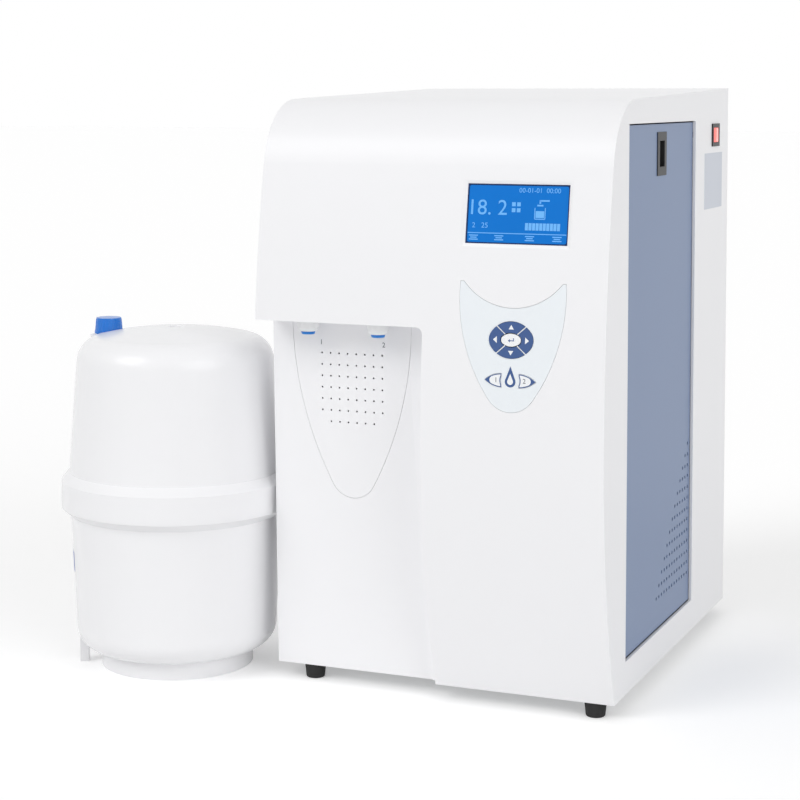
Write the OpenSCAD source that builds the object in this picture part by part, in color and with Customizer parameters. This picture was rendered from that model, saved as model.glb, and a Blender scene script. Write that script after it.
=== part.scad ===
// Bench-top ultrapure water system with its free-standing pressure tank.
// Millimetres, +Z up. The cabinet's own coordinates run from its left side (x = 0) to its
// right side, from the most forward point of its front (y = 0) to the rear, and from the
// bench (z = 0) up. in_frame() moves them so that the origin is the centre of the base of
// the whole system.

/* [Cabinet] */
// Width of the cabinet across its front
body_w = 360; // [350:1:440]
// Depth from the most forward point of the front to the rear edge
body_d = 480; // [470:1:600]
// Height of the top's rear edge above the bench, feet included
body_h = 600; // [590:1:730]
// Height of the rubber feet under the cabinet
foot_h = 15; // [10:1:24]
// Wall of the moulded casing
wall = 3; // [2:0.5:3.5]
// Clearance between covers that fit into each other
fit_gap = 0.3; // [0.2:0.05:0.5]

/* [Front curve] */
// Height of the most forward point of the front
nose_z = 260; // [240:1:280]
// Radius of the front above its most forward point
upper_r = 1400; // [1000:10:2000]
// Radius of the front below its most forward point
lower_r = 760; // [600:10:1000]
// Radius of the brow between the front and the top
brow_r = 75; // [50:1:90]
// Slope of the top, falling to the front, in degrees
top_pitch = 1.7; // [0.5:0.1:3]

/* [Dispensing bay] */
// Width of the bay from the cabinet's left side
bay_w = 178; // [170:1:184]
// Height of the bay's ceiling above the bench
bay_top = 371; // [340:1:400]
// Depth of the bay's back wall behind the front at the ceiling
bay_top_y = 45.5; // [40:0.5:60]
// Depth of the bay's back wall behind the front at the bottom
bay_bottom_y = 55; // [50:0.5:70]
// Rounding of the bay's upper corner
bay_corner_r = 7; // [3:0.5:12]
// Wall of the bay liner
liner_t = 3; // [2.5:0.5:4]
// Radius of the cove between back wall and side wall at the ceiling
cove_top_r = 34; // [20:1:40]
// Radius of the cove at the bottom
cove_bottom_r = 14; // [8:1:15]

/* [Splash insert] */
// Width of the insert under the ceiling
insert_w = 128; // [110:1:140]
// Height from the ceiling to the insert's round tip
insert_h = 180; // [160:1:230]
// Radius of the insert's long side arcs
insert_side_r = 350; // [320:5:500]
// Thickness of the insert, flush in its pocket
insert_t = 1.5; // [1:0.1:1.8]
// Distance of the bay's centre line from the cabinet's left side
bay_axis_x = 86; // [80:1:90]
// Pitch of the splash holes across
hole_pitch_x = 9.3; // [8:0.1:11]
// Pitch of the splash holes down
hole_pitch_z = 11.5; // [9:0.1:13]
// Diameter of the splash holes
hole_d = 2; // [1.5:0.1:3]
// Distance of the first row of holes under the ceiling
hole_drop = 35; // [30:1:45]

/* [Outlets] */
// Distance between the two outlets
outlet_pitch = 75; // [60:1:90]
// Depth of the outlets behind the front
outlet_y = 25; // [22:0.5:27]
// Radius of an outlet body
outlet_r = 11; // [9:0.5:12]
// Visible length of an outlet body
outlet_len = 11; // [10:1:20]

/* [Display] */
// Width of the display's window
display_w = 101.5; // [90:0.5:110]
// Height of the display's window
display_h = 57; // [45:0.5:60]
// Distance of the display's centre under the rear edge of the top
display_drop = 119; // [110:1:125]
// Distance of the display's and keypad's centre line from the cabinet's right side
panel_axis = 92; // [85:1:100]
// Width of the bevel round the display
bevel_w = 4.5; // [2:0.5:6]

/* [Keypad] */
// Width of the shield-shaped keypad at its shoulders
keypad_w = 105.4; // [95:0.2:115]
// Height of the keypad's shoulders above the bench
keypad_z = 405; // [395:1:410]
// Radius of the keypad's side arcs
keypad_side_r = 170; // [150:1:200]
// Length from the shoulders to the keypad's tip
keypad_len = 109.5; // [105:0.5:118]
// Radius of the hollow in the keypad's top edge
keypad_top_r = 62; // [58:1:70]
// Height of the hollow's lowest point under the shoulders
keypad_dip = 12; // [6:0.5:16]
// Thickness of the keypad plate
keypad_t = 2; // [1.5:0.1:2.4]
// Half-width and half-height of the direction keys' oval
dial_a = 21.9; // [18:0.1:24]
dial_b = 17.3; // [14:0.1:19]
// Half-width and half-height of the enter key
enter_a = 9.7; // [8:0.1:11]
enter_b = 6; // [5:0.1:7]
// Distance of the direction keys' centre under the shoulders
dial_drop = 41.5; // [38:0.5:44]
// Distance of the outlet keys' centre under the shoulders
leaf_drop = 79.5; // [77:0.5:82]
// Height by which a key stands proud of the plate
key_proud = 0.5; // [0.3:0.1:0.8]
// Gap round a key
key_gap = 0.3; // [0.2:0.05:0.5]
// Travel of a key
key_travel = 0.5; // [0.3:0.1:0.7]

/* [Side door] */
// Distance from the front's most forward point to the door's front edge
door_y = 78.5; // [74:0.5:90]
// Width of the door
door_w = 252; // [245:1:290]
// Height of the door's lower edge above the bench
door_z = 49; // [45:1:60]
// Distance from the top's rear edge down to the door's upper edge
door_drop = 36.5; // [34:0.5:60]
// Gap round the door
door_gap = 1.5; // [1:0.25:2.5]
// Sheet of the door
door_t = 2; // [1.5:0.25:2.5]
// Depth of the door's return flanges
door_flange = 10; // [8:0.5:12]
// Radius of the door's hinge pins
pin_r = 2.5; // [2:0.25:3]
// Running clearance round the hinge pins
pin_gap = 0.08; // [0.05:0.01:0.1]
// Number of rows in the triangle of vent holes
vent_rows = 13; // [8:1:14]
// Pitch of the vent holes along a row
vent_pitch_y = 10.2; // [9:0.1:11]
// Pitch of the rows
vent_pitch_z = 11.7; // [9:0.1:12.5]
// Diameter of a vent hole
vent_d = 4; // [2.5:0.1:5]

/* [Latch] */
// Width of the latch bezel
latch_w = 34; // [30:1:38]
// Height of the latch bezel
latch_h = 44; // [40:1:50]
// Depth of the latch's finger pocket
latch_depth = 7; // [5:0.5:8]
// Width of the slot in the pocket's floor
slot_w = 18; // [14:1:20]
// Height of the slot in the pocket's floor
slot_h = 26; // [24:1:30]
// Travel of the slider
latch_travel = 10; // [6:1:11]

/* [Power switch] */
// Width of the switch frame along the side
switch_w = 32; // [30:1:34]
// Height of the switch frame
switch_h = 25; // [24:1:28]
// Distance of the switch's centre from the rear edge
switch_back = 61; // [50:1:75]
// Distance of the switch's centre under the top's rear edge
switch_drop = 51.5; // [45:1:60]
// Tilt of the rocker either side of its middle, in degrees
rocker_tilt = 7; // [5:0.5:8]

/* [Feet] */
// Radius of a foot at its top
foot_top_r = 11; // [9:0.5:12]
// Radius of a foot at the bench
foot_low_r = 9.5; // [8:0.5:11]

/* [Filters] */
// Number of quick-change cartridges behind the door
cartridges = 4;
// Radius of a cartridge
cartridge_r = 27; // [24:0.5:28]
// Length of a cartridge below its head
cartridge_len = 290; // [240:1:300]
// Distance between neighbouring cartridges
cartridge_pitch = 59; // [58:0.5:60]
// Radius of a cartridge's neck in its head
neck_r = 18; // [14:0.5:20]
// Running clearance round the neck
neck_gap = 0.08; // [0.05:0.01:0.1]
// Distance of the filter heads' lower face under the top's rear edge
head_drop = 100; // [90:1:130]
// Radius of the reverse-osmosis vessel
vessel_r = 25; // [22:0.5:26]
// Radius of the ultraviolet chamber
uv_r = 20; // [16:0.5:22]
// Radius of the internal tubes
tube_r = 3.2; // [3:0.1:3.5]

/* [Rear] */
// Thickness of the rear panel and the base plate
sheet_t = 2; // [1.5:0.25:2.5]
// Length by which the tube ports stand out at the rear
port_len = 18; // [14:1:22]
// Radius of the bores in the tube ports
port_bore_r = 3.25; // [3:0.05:4.2]
// Distance between the tube ports
port_pitch = 40; // [30:1:42]

/* [Tank] */
// Radius of the tank's weld band
tank_r = 119; // [110:1:125]
// Height of the tank
tank_h = 352; // [340:1:380]
// Gap between the tank's band and the cabinet's left side
tank_gap = 5.5; // [4:0.5:30]
// Distance of the tank's axis behind the cabinet's most forward point
tank_y = 68; // [60:1:80]
// Wall of the tank
tank_t = 4; // [3:0.5:5]
// Radius of the tank's port boss
boss_r = 19.5; // [17:0.5:22]
// Distance of the port from the tank's axis
port_offset = 80; // [65:1:84]
// Height of the tank's cap
cap_h = 18; // [12:0.5:20]
// Radius of the ring that the tank stands on
tank_ring_r = 79; // [60:1:85]

/* [Hidden] */
$fn = 64;

// Long arcs get this many sides so that their chords stay within 0.02 mm.
long_fn = 720;
eps = 1;

// Front curve: the brow's centre touches the front arc and the sloping top from inside.
top_slope = tan(top_pitch);
brow_a = body_h - top_slope * body_d - brow_r / cos(top_pitch) - nose_z;
brow_b = top_slope * brow_a - upper_r;
brow_k = upper_r * upper_r + brow_a * brow_a - pow(upper_r - brow_r, 2);
brow_y = (-brow_b - sqrt(brow_b * brow_b - (1 + top_slope * top_slope) * brow_k))
         / (1 + top_slope * top_slope);
brow_c = [brow_y, nose_z + brow_a + top_slope * brow_y];
brow_angle = atan2(brow_c[1] - nose_z, brow_c[0] - upper_r);
lower_angle = asin((nose_z - foot_h) / lower_r);
lip = 2;

// Bay
bay_h = bay_top - foot_h;
bay_tilt = atan((bay_bottom_y - bay_top_y) / bay_h);
pocket_gap = 0.4;

// Display and keypad
display_z = body_h - display_drop;
panel_x = body_w - panel_axis;
dial_z = keypad_z - dial_drop;
leaf_z = keypad_z - leaf_drop;
keypad_ledge = 4;
key_depth = 5;
board_depth = 9;
board_t = 1.6;
board_z = keypad_z - 48;
window_t = 2;
window_depth = wall + 0.5;
module_t = 9.5;

// Door
door_h = body_h - door_drop - door_z;
door_face_x = body_w - wall;
door_pin_x = door_face_x - 6;
door_pin_z = door_z + 7;
latch_y = door_y + door_w / 2;
latch_z = door_z + door_h - 8 - latch_h / 2;
slider_x = door_face_x - latch_depth - 2.3;
tab_h = slot_h - latch_travel - 1;
tab_z = latch_z + slot_h / 2 - 0.3 - tab_h;
hook_z = tab_z + tab_h + 5;
keeper_x = slider_x - 9.5;

// Switch
switch_y = body_d - switch_back;
switch_z = body_h - switch_drop;
rocker_r = 10.8;
rocker_h = switch_h - 9.4;
switch_proud = 1.5;
pivot_depth = 3.5;
pivot_r = 1.5;
crest_angle = 34;
rocker_out = rocker_r * sin(crest_angle + rocker_tilt) - pivot_depth;

// Filters
bracket_x = body_w - 98;
cartridge_x = body_w - 52;
head_z = body_h - head_drop;
head_h = 38;
neck_len = 12;
base_top = foot_h + sheet_t;
first_cartridge_y = door_y + door_w / 2 - cartridge_pitch * (cartridges - 1) / 2;
vessel_x = bracket_x - vessel_r - 5;
vessel_y = first_cartridge_y + 25;
uv_y = vessel_y + 90;
vessel_z0 = 155;
vessel_z1 = head_z - 30;
cell_x = 100;
cell_z = head_z + 30;
outlet_tail_z = bay_top + 20;
bend_r = 12;

// Rear
rear_y = body_d - sheet_t;
port_z = 80;
port_x = 60;
inlet_x = body_w - 60;
pump_y = body_d - 80;
pump_z = base_top + 38;
board_low = nose_z + 60;

// Tank
tank_x = -tank_gap - tank_r;
band_z0 = 167;
tank_bottom = 18;
band_z1 = 195;
weld_z = band_z0 + 1;
port_tx = tank_x - port_offset;
boss_top = tank_h - 12;

// The origin is the centre of the base of the whole system.
sys_x = (tank_x - tank_r + body_w + rocker_out) / 2;
sys_y = (tank_y - tank_r + body_d + port_len) / 2;

function front_y(z) = z >= nose_z
    ? upper_r - sqrt(upper_r * upper_r - pow(z - nose_z, 2))
    : lower_r - sqrt(lower_r * lower_r - pow(nose_z - z, 2));
function top_z(y) = body_h - top_slope * (body_d - y);
function bay_y(z) = bay_top_y + (bay_bottom_y - bay_top_y) * (bay_top - z) / bay_h;
function cartridge_y(i) = first_cartridge_y + (i - 1) * cartridge_pitch;

module in_frame() {
    translate([-sys_x, -sys_y, 0]) children();
}

// A side-view outline (y, z) as a solid from x0 to x1.
module along_x(x0, x1) {
    translate([x0, 0, 0]) rotate([90, 0, 90]) linear_extrude(x1 - x0) children();
}

// A front-view outline (x, z) as a solid from y0 to y1.
module along_y(y0, y1) {
    translate([0, y1, 0]) rotate([90, 0, 0]) linear_extrude(y1 - y0) children();
}

module block(low, high) {
    translate(low) cube(high - low);
}

// An oval of four arcs, a wide and b high in half-sizes. The middle stops just before the
// arcs touch, so that no two arcs are tangent where they are joined.
module oval(a, b) {
    r = b * 0.72;
    big = (pow(a - r, 2) + b * b - r * r) / (2 * (b - r));
    middle = 0.97 * (a - r) * big / (big - r);
    intersection() {
        translate([0, b - big]) circle(big, $fn = 180);
        translate([0, big - b]) circle(big, $fn = 180);
        square([2 * middle, 4 * b], center = true);
    }
    for (side = [-1, 1]) translate([side * (a - r), 0]) circle(r);
}

// Two side arcs that meet in a round tip below: the shape of the insert and the keypad.
// The arcs stand upright at z = 0 with half-width w, and the tip reaches z = -len.
module round_tip(w, len, side_r, grow = 0) {
    c = side_r - w;
    tip_r = (side_r * side_r - c * c - len * len) / (2 * (side_r - len));
    tip_z = tip_r - len;
    reach = sqrt(c * c + tip_z * tip_z);
    cut_z = tip_z * side_r / reach;
    intersection() {
        translate([c, 0]) circle(side_r + grow, $fn = long_fn);
        translate([-c, 0]) circle(side_r + grow, $fn = long_fn);
        translate([-2 * w, cut_z]) square([4 * w, side_r]);
    }
    translate([0, tip_z]) circle(tip_r + grow);
}

// The cabinet seen from the side, inset all round the front and the top. The straight and
// long arcs stop just before they touch the brow's circle, so that no join is tangent.
module side_profile(inset, y_back, z_low) {
    short = 1.5;
    front = brow_c + (brow_r - inset) * [cos(brow_angle), sin(brow_angle)];
    top = brow_c + (brow_r - inset) * [-sin(top_pitch), cos(top_pitch)];
    top_start = top + short * [cos(top_pitch), sin(top_pitch)];
    rear = [y_back, top_z(y_back) - inset / cos(top_pitch)];
    ahead = -5;
    intersection() {
        union() {
            intersection() {
                translate([upper_r, nose_z]) circle(upper_r - inset, $fn = long_fn);
                translate([ahead, nose_z]) square([y_back - ahead, body_h]);
            }
            intersection() {
                translate([lower_r, nose_z]) circle(lower_r - inset, $fn = long_fn);
                translate([ahead, z_low]) square([y_back - ahead, nose_z - z_low]);
            }
        }
        polygon([[ahead, z_low], [ahead, front[1] - short], [brow_c[0], front[1] - short],
                 top_start, rear, [y_back, z_low]]);
    }
    translate(brow_c) circle(brow_r - inset, $fn = 180);
}

// Everything between two depths under the front surface.
module front_layer(depth0, depth1) {
    difference() {
        along_x(0, body_w) side_profile(depth0, body_d, foot_h);
        along_x(-eps, body_w + eps) side_profile(depth1, body_d + eps, foot_h - eps);
    }
}

// Outline of the bay's mouth in the front.
module bay_outline() {
    difference() {
        translate([-eps, foot_h - eps]) square([bay_w + eps, bay_h + eps]);
        translate([bay_w - bay_corner_r, bay_top - bay_corner_r]) difference() {
            square([bay_corner_r + eps, bay_corner_r + eps]);
            circle(bay_corner_r);
        }
    }
}

// The base ledge starts behind the bay on the left and behind the hinge bracket on the right.
function ledge_y(x) = x < body_w / 2 ? bay_bottom_y + 60 : door_y + door_w + 24;

module casing() {
    flange = 8;
    color("white") in_frame() {
        difference() {
            union() {
                difference() {
                    along_x(0, body_w) side_profile(0, body_d, foot_h);
                    along_x(wall, body_w - wall) side_profile(wall, body_d + eps, foot_h - eps);
                }
                for (x = [wall - lip, body_w - wall - flange]) {
                    block([x, rear_y - 3, base_top + 20],
                          [x + flange + lip, rear_y - 0.1, top_z(rear_y) - 3 * wall]);
                    block([x, ledge_y(x), base_top + 0.1],
                          [x + flange + lip, rear_y - 30, base_top + 3]);
                }
            }
            along_y(-eps, bay_bottom_y + liner_t + fit_gap) intersection() {
                bay_outline();
                translate([-eps, 0]) square([bay_w + eps, bay_top + eps]);
            }
            block([-eps, -eps, 0], [wall + fit_gap, bay_bottom_y + liner_t + fit_gap, bay_top]);
            door_opening();
            display_opening();
            keypad_opening();
            block([body_w - wall - eps, switch_y - switch_w / 2 + 2, switch_z - switch_h / 2 + 2],
                  [body_w + eps, switch_y + switch_w / 2 - 2, switch_z + switch_h / 2 - 2]);
        }
    }
}

module door_opening() {
    block([body_w - wall - eps, door_y - door_gap, door_z - door_gap],
          [body_w + eps, door_y + door_w + door_gap, door_z + door_h + door_gap]);
}

// Local frame on the front surface at height z: x across, y inward, z up the surface.
module on_front(x, z) {
    tilt = asin((z - nose_z) / upper_r);
    translate([x, front_y(z), z]) rotate([-tilt, 0, 0]) children();
}

module display_opening() {
    on_front(panel_x, display_z) {
        block([-display_w / 2, -2, -display_h / 2], [display_w / 2, 2 * wall, display_h / 2]);
        hull() {
            block([-display_w / 2 - bevel_w, -1, -display_h / 2 - bevel_w],
                  [display_w / 2 + bevel_w, -0.2, display_h / 2 + bevel_w]);
            block([-display_w / 2, wall - 0.8, -display_h / 2],
                  [display_w / 2, wall - 0.7, display_h / 2]);
        }
    }
}

module keypad_outline(grow = 0) {
    translate([panel_x, keypad_z]) difference() {
        round_tip(keypad_w / 2, keypad_len, keypad_side_r, grow);
        translate([0, keypad_top_r - keypad_dip]) circle(keypad_top_r - grow, $fn = 120);
        translate([-keypad_w, 12 + grow]) square([2 * keypad_w, keypad_side_r]);
    }
}

module keypad_opening() {
    intersection() {
        along_y(-eps, 40) keypad_outline(fit_gap);
        along_x(0, body_w) difference() {
            translate([-eps, keypad_z - 2 * keypad_len]) square([60, 3 * keypad_len]);
            side_profile(keypad_t + 0.1, body_d, foot_h);
        }
    }
    along_y(-eps, 40) keypad_outline(-keypad_ledge);
}

module base_plate() {
    x0 = wall + fit_gap;
    x1 = body_w - wall - fit_gap;
    y_left = bay_bottom_y + liner_t + fit_gap;
    y_right = front_y(foot_h) + wall + 2;
    slot_l = 60;
    color("silver") in_frame() difference() {
        union() {
            block([x0, y_left, foot_h], [x1, rear_y - fit_gap, base_top]);
            block([bay_w + liner_t + fit_gap, y_right, foot_h], [x1, y_left + eps, base_top]);
        }
        for (i = [0:5]) for (x = [145, body_w - 120]) {
            block([x, 150 + i * 24, foot_h - eps], [x + slot_l, 158 + i * 24, base_top + eps]);
        }
    }
}

module rear_panel() {
    x0 = wall + fit_gap;
    x1 = body_w - wall - fit_gap;
    slot_l = 54;
    color("whitesmoke") in_frame() difference() {
        along_x(x0, x1) polygon([[rear_y, foot_h], [body_d, foot_h],
            [body_d, top_z(body_d) - wall - 1], [rear_y, top_z(rear_y) - wall - 1]]);
        for (i = [0:9]) for (x = [body_w / 2 - 70, body_w / 2 + 16]) {
            along_y(rear_y - eps, body_d + eps) translate([x, 470 + (i - 5) * 11]) hull_slot(slot_l, 4);
        }
        for (i = [0:2]) {
            translate([port_x + i * port_pitch, rear_y - eps, port_z]) rotate([-90, 0, 0])
                cylinder(r = 6.2, h = sheet_t + 2 * eps);
        }
        block([inlet_x - 14, rear_y - eps, port_z - 10], [inlet_x + 14, body_d + eps, port_z + 10]);
        for (x = [x0 + 4, x1 - 4]) for (z = screw_heights()) {
            translate([x, rear_y - eps, z]) rotate([-90, 0, 0]) cylinder(r = 1.8, h = sheet_t + 2 * eps);
        }
    }
}

function screw_heights() = [60, nose_z, body_h - 60];

module hull_slot(len, w) {
    translate([w / 2, -w / 2]) square([len - w, w]);
    for (x = [w / 2, len - w / 2]) translate([x, 0]) circle(w / 2);
}

// Local frame on the bay's back wall: x across, y into the wall, z down from the ceiling.
module on_bay() {
    translate([0, bay_top_y, bay_top]) rotate([bay_tilt, 0, 0]) children();
}

module insert_outline(grow = 0) {
    len = insert_h;
    intersection() {
        translate([bay_axis_x, 0]) round_tip(insert_w / 2, len, insert_side_r, grow);
        translate([0, -2 * len]) square([body_w, 2 * len - 0.5 + min(grow, 0)]);
    }
}

module bay_liner() {
    right = bay_w + liner_t;
    back = bay_top_y + liner_t;
    color("white") in_frame() difference() {
        union() {
            intersection() {
                on_bay() block([0, 0, -bay_h - 5], [right, liner_t, 5]);
                union() {
                    block([0, 0, foot_h], [right, body_d, bay_top - fit_gap]);
                    block([wall + fit_gap, 0, foot_h], [right, body_d, bay_top + liner_t]);
                }
            }
            intersection() {
                along_x(wall + fit_gap, right) side_profile(wall + fit_gap, body_d, foot_h - 5);
                union() {
                    along_x(bay_w, right) polygon([[0, foot_h], [bay_bottom_y + liner_t + 1, foot_h],
                        [bay_top_y + liner_t + 1, bay_top + 1], [0, bay_top + 1]]);
                    block([0, 0, bay_top], [right, back, bay_top + liner_t]);
                    cove();
                }
            }
        }
        on_bay() along_y(-eps, insert_t) insert_outline(pocket_gap);
        on_bay() along_y(0, liner_t + eps) translate([bay_axis_x, -hole_drop - 3 * hole_pitch_z])
            square([9 * hole_pitch_x, 8 * hole_pitch_z], center = true);
        for (side = [-1, 1]) {
            translate([bay_axis_x + side * outlet_pitch / 2, outlet_y, bay_top - eps])
                cylinder(r = 6.2, h = liner_t + 2 * eps);
        }
    }
}

// Filled corner between the bay's back wall and side wall, hollowed by a cone that touches both.
module cove() {
    lean = asin((cove_top_r - cove_bottom_r) / bay_h);
    low = 0.96 * cove_bottom_r;
    high = 0.96 * cove_top_r;
    on_bay() difference() {
        intersection() {
            along_x(bay_w - high, bay_w + eps)
                polygon([[-low, -bay_h], [eps, -bay_h], [eps, -0.1], [-high, -0.1]]);
            along_y(-high, eps)
                polygon([[bay_w - low, -bay_h], [bay_w + eps, -bay_h], [bay_w + eps, -0.1],
                         [bay_w - high, -0.1]]);
        }
        translate([bay_w - cove_bottom_r * cos(lean), -cove_bottom_r * cos(lean), -bay_h])
            rotate([lean, -asin(tan(lean)), 0]) translate([0, 0, -20])
                cylinder(r1 = cove_bottom_r - 20 * tan(lean),
                         r2 = cove_bottom_r + (bay_h + 20) * tan(lean), h = bay_h + 40);
    }
}

module splash_insert() {
    color("whitesmoke") in_frame() on_bay() difference() {
        along_y(0, insert_t) insert_outline();
        for (row = [0:6]) {
            count = row == 6 ? 6 : 8;
            for (i = [0:count - 1]) {
                translate([bay_axis_x + (i - (count - 1) / 2) * hole_pitch_x, -eps,
                           -hole_drop - row * hole_pitch_z])
                    rotate([-90, 0, 0]) cylinder(r = hole_d / 2, h = insert_t + 2 * eps, $fn = 24);
            }
        }
    }
}

// One outlet: a body under the ceiling, a neck through it, and a tail for the tube.
module outlet(side) {
    translate([bay_axis_x + side * outlet_pitch / 2, outlet_y, bay_top]) difference() {
        union() {
            rotate_extrude() polygon([[0, -outlet_len], [outlet_r - 3, -outlet_len],
                [outlet_r - 0.6, -outlet_len + 3], [outlet_r, -2], [outlet_r, 0], [6, 0],
                [6, liner_t + 3], [4.6, liner_t + 4], [4.6, 20], [0, 20]]);
        }
        translate([0, 0, -outlet_len - eps]) cylinder(r = 6.1, h = 10 + eps);
        translate([0, 0, -outlet_len]) cylinder(r = tube_r, h = 50);
    }
}

module outlet_left() {
    color("white") in_frame() outlet(-1);
}

module outlet_right() {
    color("white") in_frame() outlet(1);
}

module outlet_collets() {
    color("dodgerblue") in_frame() for (side = [-1, 1]) {
        translate([bay_axis_x + side * outlet_pitch / 2, outlet_y, bay_top - outlet_len]) difference() {
            union() {
                cylinder(r = 6, h = 9.5);
                translate([0, 0, -3]) cylinder(r1 = 6.4, r2 = 7.2, h = 2.8);
                translate([0, 0, -0.4]) cylinder(r = 5.6, h = 1);
            }
            translate([0, 0, -5]) cylinder(r = tube_r, h = 20);
        }
    }
}

module display_window() {
    color("dodgerblue") in_frame() on_front(panel_x, display_z)
        block([-display_w / 2 - 4, window_depth, -display_h / 2 - 4],
              [display_w / 2 + 4, window_depth + window_t, display_h / 2 + 4]);
}

module display_module() {
    y0 = window_depth + window_t + 0.05;
    half_w = display_w / 2 + 9;
    half_h = display_h / 2 + 8;
    color("seagreen") in_frame() on_front(panel_x, display_z) difference() {
        union() {
            block([-half_w + 4, y0, -half_h + 3], [half_w - 4, y0 + module_t, half_h - 3]);
            block([-half_w, y0 + module_t - 1.6, -half_h], [half_w, y0 + module_t, half_h]);
            for (x = [-30, 10]) block([x, y0 + module_t - 0.5, -14], [x + 22, y0 + module_t + 3, 8]);
        }
        for (sx = [-1, 1]) for (sz = [-1, 1]) {
            translate([sx * (half_w - 3), y0, sz * (half_h - 2.2)]) rotate([-90, 0, 0])
                cylinder(r = 1.4, h = 2 * module_t, $fn = 24);
        }
    }
}

function post_places() = [[-36, -12], [36, -12], [-14, -94], [14, -94]];

module keypad_plate() {
    color("aliceblue") in_frame() difference() {
        union() {
            intersection() {
                front_layer(0, keypad_t);
                along_y(-eps, 40) keypad_outline();
            }
            before_board() intersection() {
                along_y(0, 40) for (p = post_places()) {
                    translate([panel_x + p[0], keypad_z + p[1]]) circle(3);
                }
                along_x(0, body_w) side_profile(keypad_t / 2, body_d, foot_h);
            }
        }
        along_y(-eps, 40) offset_keys(key_gap);
    }
}

// All key outlines, each grown by the gap round it.
module offset_keys(grow) {
    translate([panel_x, dial_z]) oval(dial_a + grow, dial_b + grow);
    for (side = [-1, 1]) leaf_outline(side, grow);
    drop_outline(0.1);
}

// One quarter of the direction keys: a wedge of the oval between two diagonal gaps.
module direction_key(turn) {
    half_gap = 0.7;
    slope = dial_b / dial_a * 1.12;
    difference() {
        intersection() {
            key_solid() translate([panel_x, dial_z]) oval(dial_a, dial_b);
            along_y(-2 * eps, 30) translate([panel_x, dial_z])
                wedge(turn, slope, half_gap);
        }
        along_y(-3 * eps, 40) translate([panel_x, dial_z])
            oval(enter_a + 0.9, enter_b + 0.9);
    }
}

// A wedge between two diagonals of the given slope: 0 up, 1 left, 2 down, 3 right.
module wedge(turn, slope, half_gap) {
    far = 2 * dial_a;
    lift = half_gap * sqrt(1 + slope * slope);
    shift = lift / slope;
    if (turn == 0) polygon([[0, lift], [far, lift + slope * far], [-far, lift + slope * far]]);
    if (turn == 2) polygon([[0, -lift], [-far, -lift - slope * far], [far, -lift - slope * far]]);
    if (turn == 1) polygon([[-shift, 0], [-shift - far, slope * far], [-shift - far, -slope * far]]);
    if (turn == 3) polygon([[shift, 0], [shift + far, -slope * far], [shift + far, slope * far]]);
}

module leaf_outline(side, grow = 0) {
    lens_r = 25.5;
    lens_b = 6.6;
    translate([panel_x + side * 8.3, leaf_z]) difference() {
        intersection() {
            translate([0, lens_b - lens_r]) circle(lens_r + grow, $fn = 120);
            translate([0, lens_r - lens_b]) circle(lens_r + grow, $fn = 120);
            translate([side > 0 ? 0 : -40, -20]) square([40, 40]);
        }
        translate([-side * 8.3, 0]) circle(9.4 - grow);
    }
}

module drop_outline(grow = 0) {
    r = 5.2 + grow;
    side_x = 0.98 * r * cos(20);
    side_z = 0.98 * r * sin(20);
    translate([panel_x, leaf_z - 1]) {
        circle(r);
        polygon([[0, 0], [-side_x, side_z], [0, 2.75 * r], [side_x, side_z]]);
    }
}

// A key: its outline from just proud of the plate to an even depth behind it.
module key_solid() {
    intersection() {
        along_y(-eps, 40) children();
        front_layer(-key_proud, key_depth);
    }
}

// Everything in front of the keypad board's face.
module before_board() {
    far = keypad_len;
    difference() {
        children();
        on_front(panel_x, board_z) block([-far, board_depth, -far], [far, far, far]);
    }
}

module key_up() {
    color("steelblue") in_frame() direction_key(0);
}

module key_left() {
    color("steelblue") in_frame() direction_key(1);
}

module key_down() {
    color("steelblue") in_frame() direction_key(2);
}

module key_right() {
    color("steelblue") in_frame() direction_key(3);
}

module key_enter() {
    color("white") in_frame() key_solid() translate([panel_x, dial_z]) oval(enter_a, enter_b);
}

module key_outlet_left() {
    color("white") in_frame() key_solid() leaf_outline(-1);
}

module key_outlet_right() {
    color("white") in_frame() key_solid() leaf_outline(1);
}

module drop_lens() {
    color("steelblue") in_frame() before_board() intersection() {
        along_y(-eps, 40) drop_outline();
        along_x(0, body_w) side_profile(-0.2, body_d, foot_h);
    }
}

module keypad_board() {
    far = keypad_len;
    color("seagreen") in_frame() intersection() {
        along_y(0, 40) difference() {
            keypad_outline(-keypad_ledge - 1);
            for (side = [-1, 1]) translate([panel_x + side * 28, keypad_z - 60]) circle(1.6);
        }
        on_front(panel_x, board_z)
            block([-far, board_depth, -far], [far, board_depth + board_t, far]);
    }
}

module side_door() {
    z1 = door_z + door_h;
    color("lightsteelblue") in_frame() difference() {
        block([door_face_x - door_t - door_flange, door_y, door_z], [door_face_x, door_y + door_w, z1]);
        block([door_face_x - door_t - door_flange - eps, door_y + 1.5, door_z + 1.5],
              [door_face_x - door_t, door_y + door_w - 1.5, z1 - 1.5]);
        block([door_face_x - 2 * door_t, latch_y - latch_w / 2 + 2, latch_z - latch_h / 2 + 2],
              [door_face_x + eps, latch_y + latch_w / 2 - 2, latch_z + latch_h / 2 - 2]);
        translate([door_pin_x, door_y - eps, door_pin_z]) rotate([-90, 0, 0])
            cylinder(r = pin_r + pin_gap, h = door_w + 2 * eps);
        for (row = [0:vent_rows - 1]) for (i = [0:row]) {
            translate([door_face_x - 2 * door_t, door_y + door_w - 9 - i * vent_pitch_y,
                       door_z + 31 + (vent_rows - 1 - row) * vent_pitch_z])
                rotate([0, 90, 0]) cylinder(r = vent_d / 2, h = 3 * door_t, $fn = 24);
        }
    }
}

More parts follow.
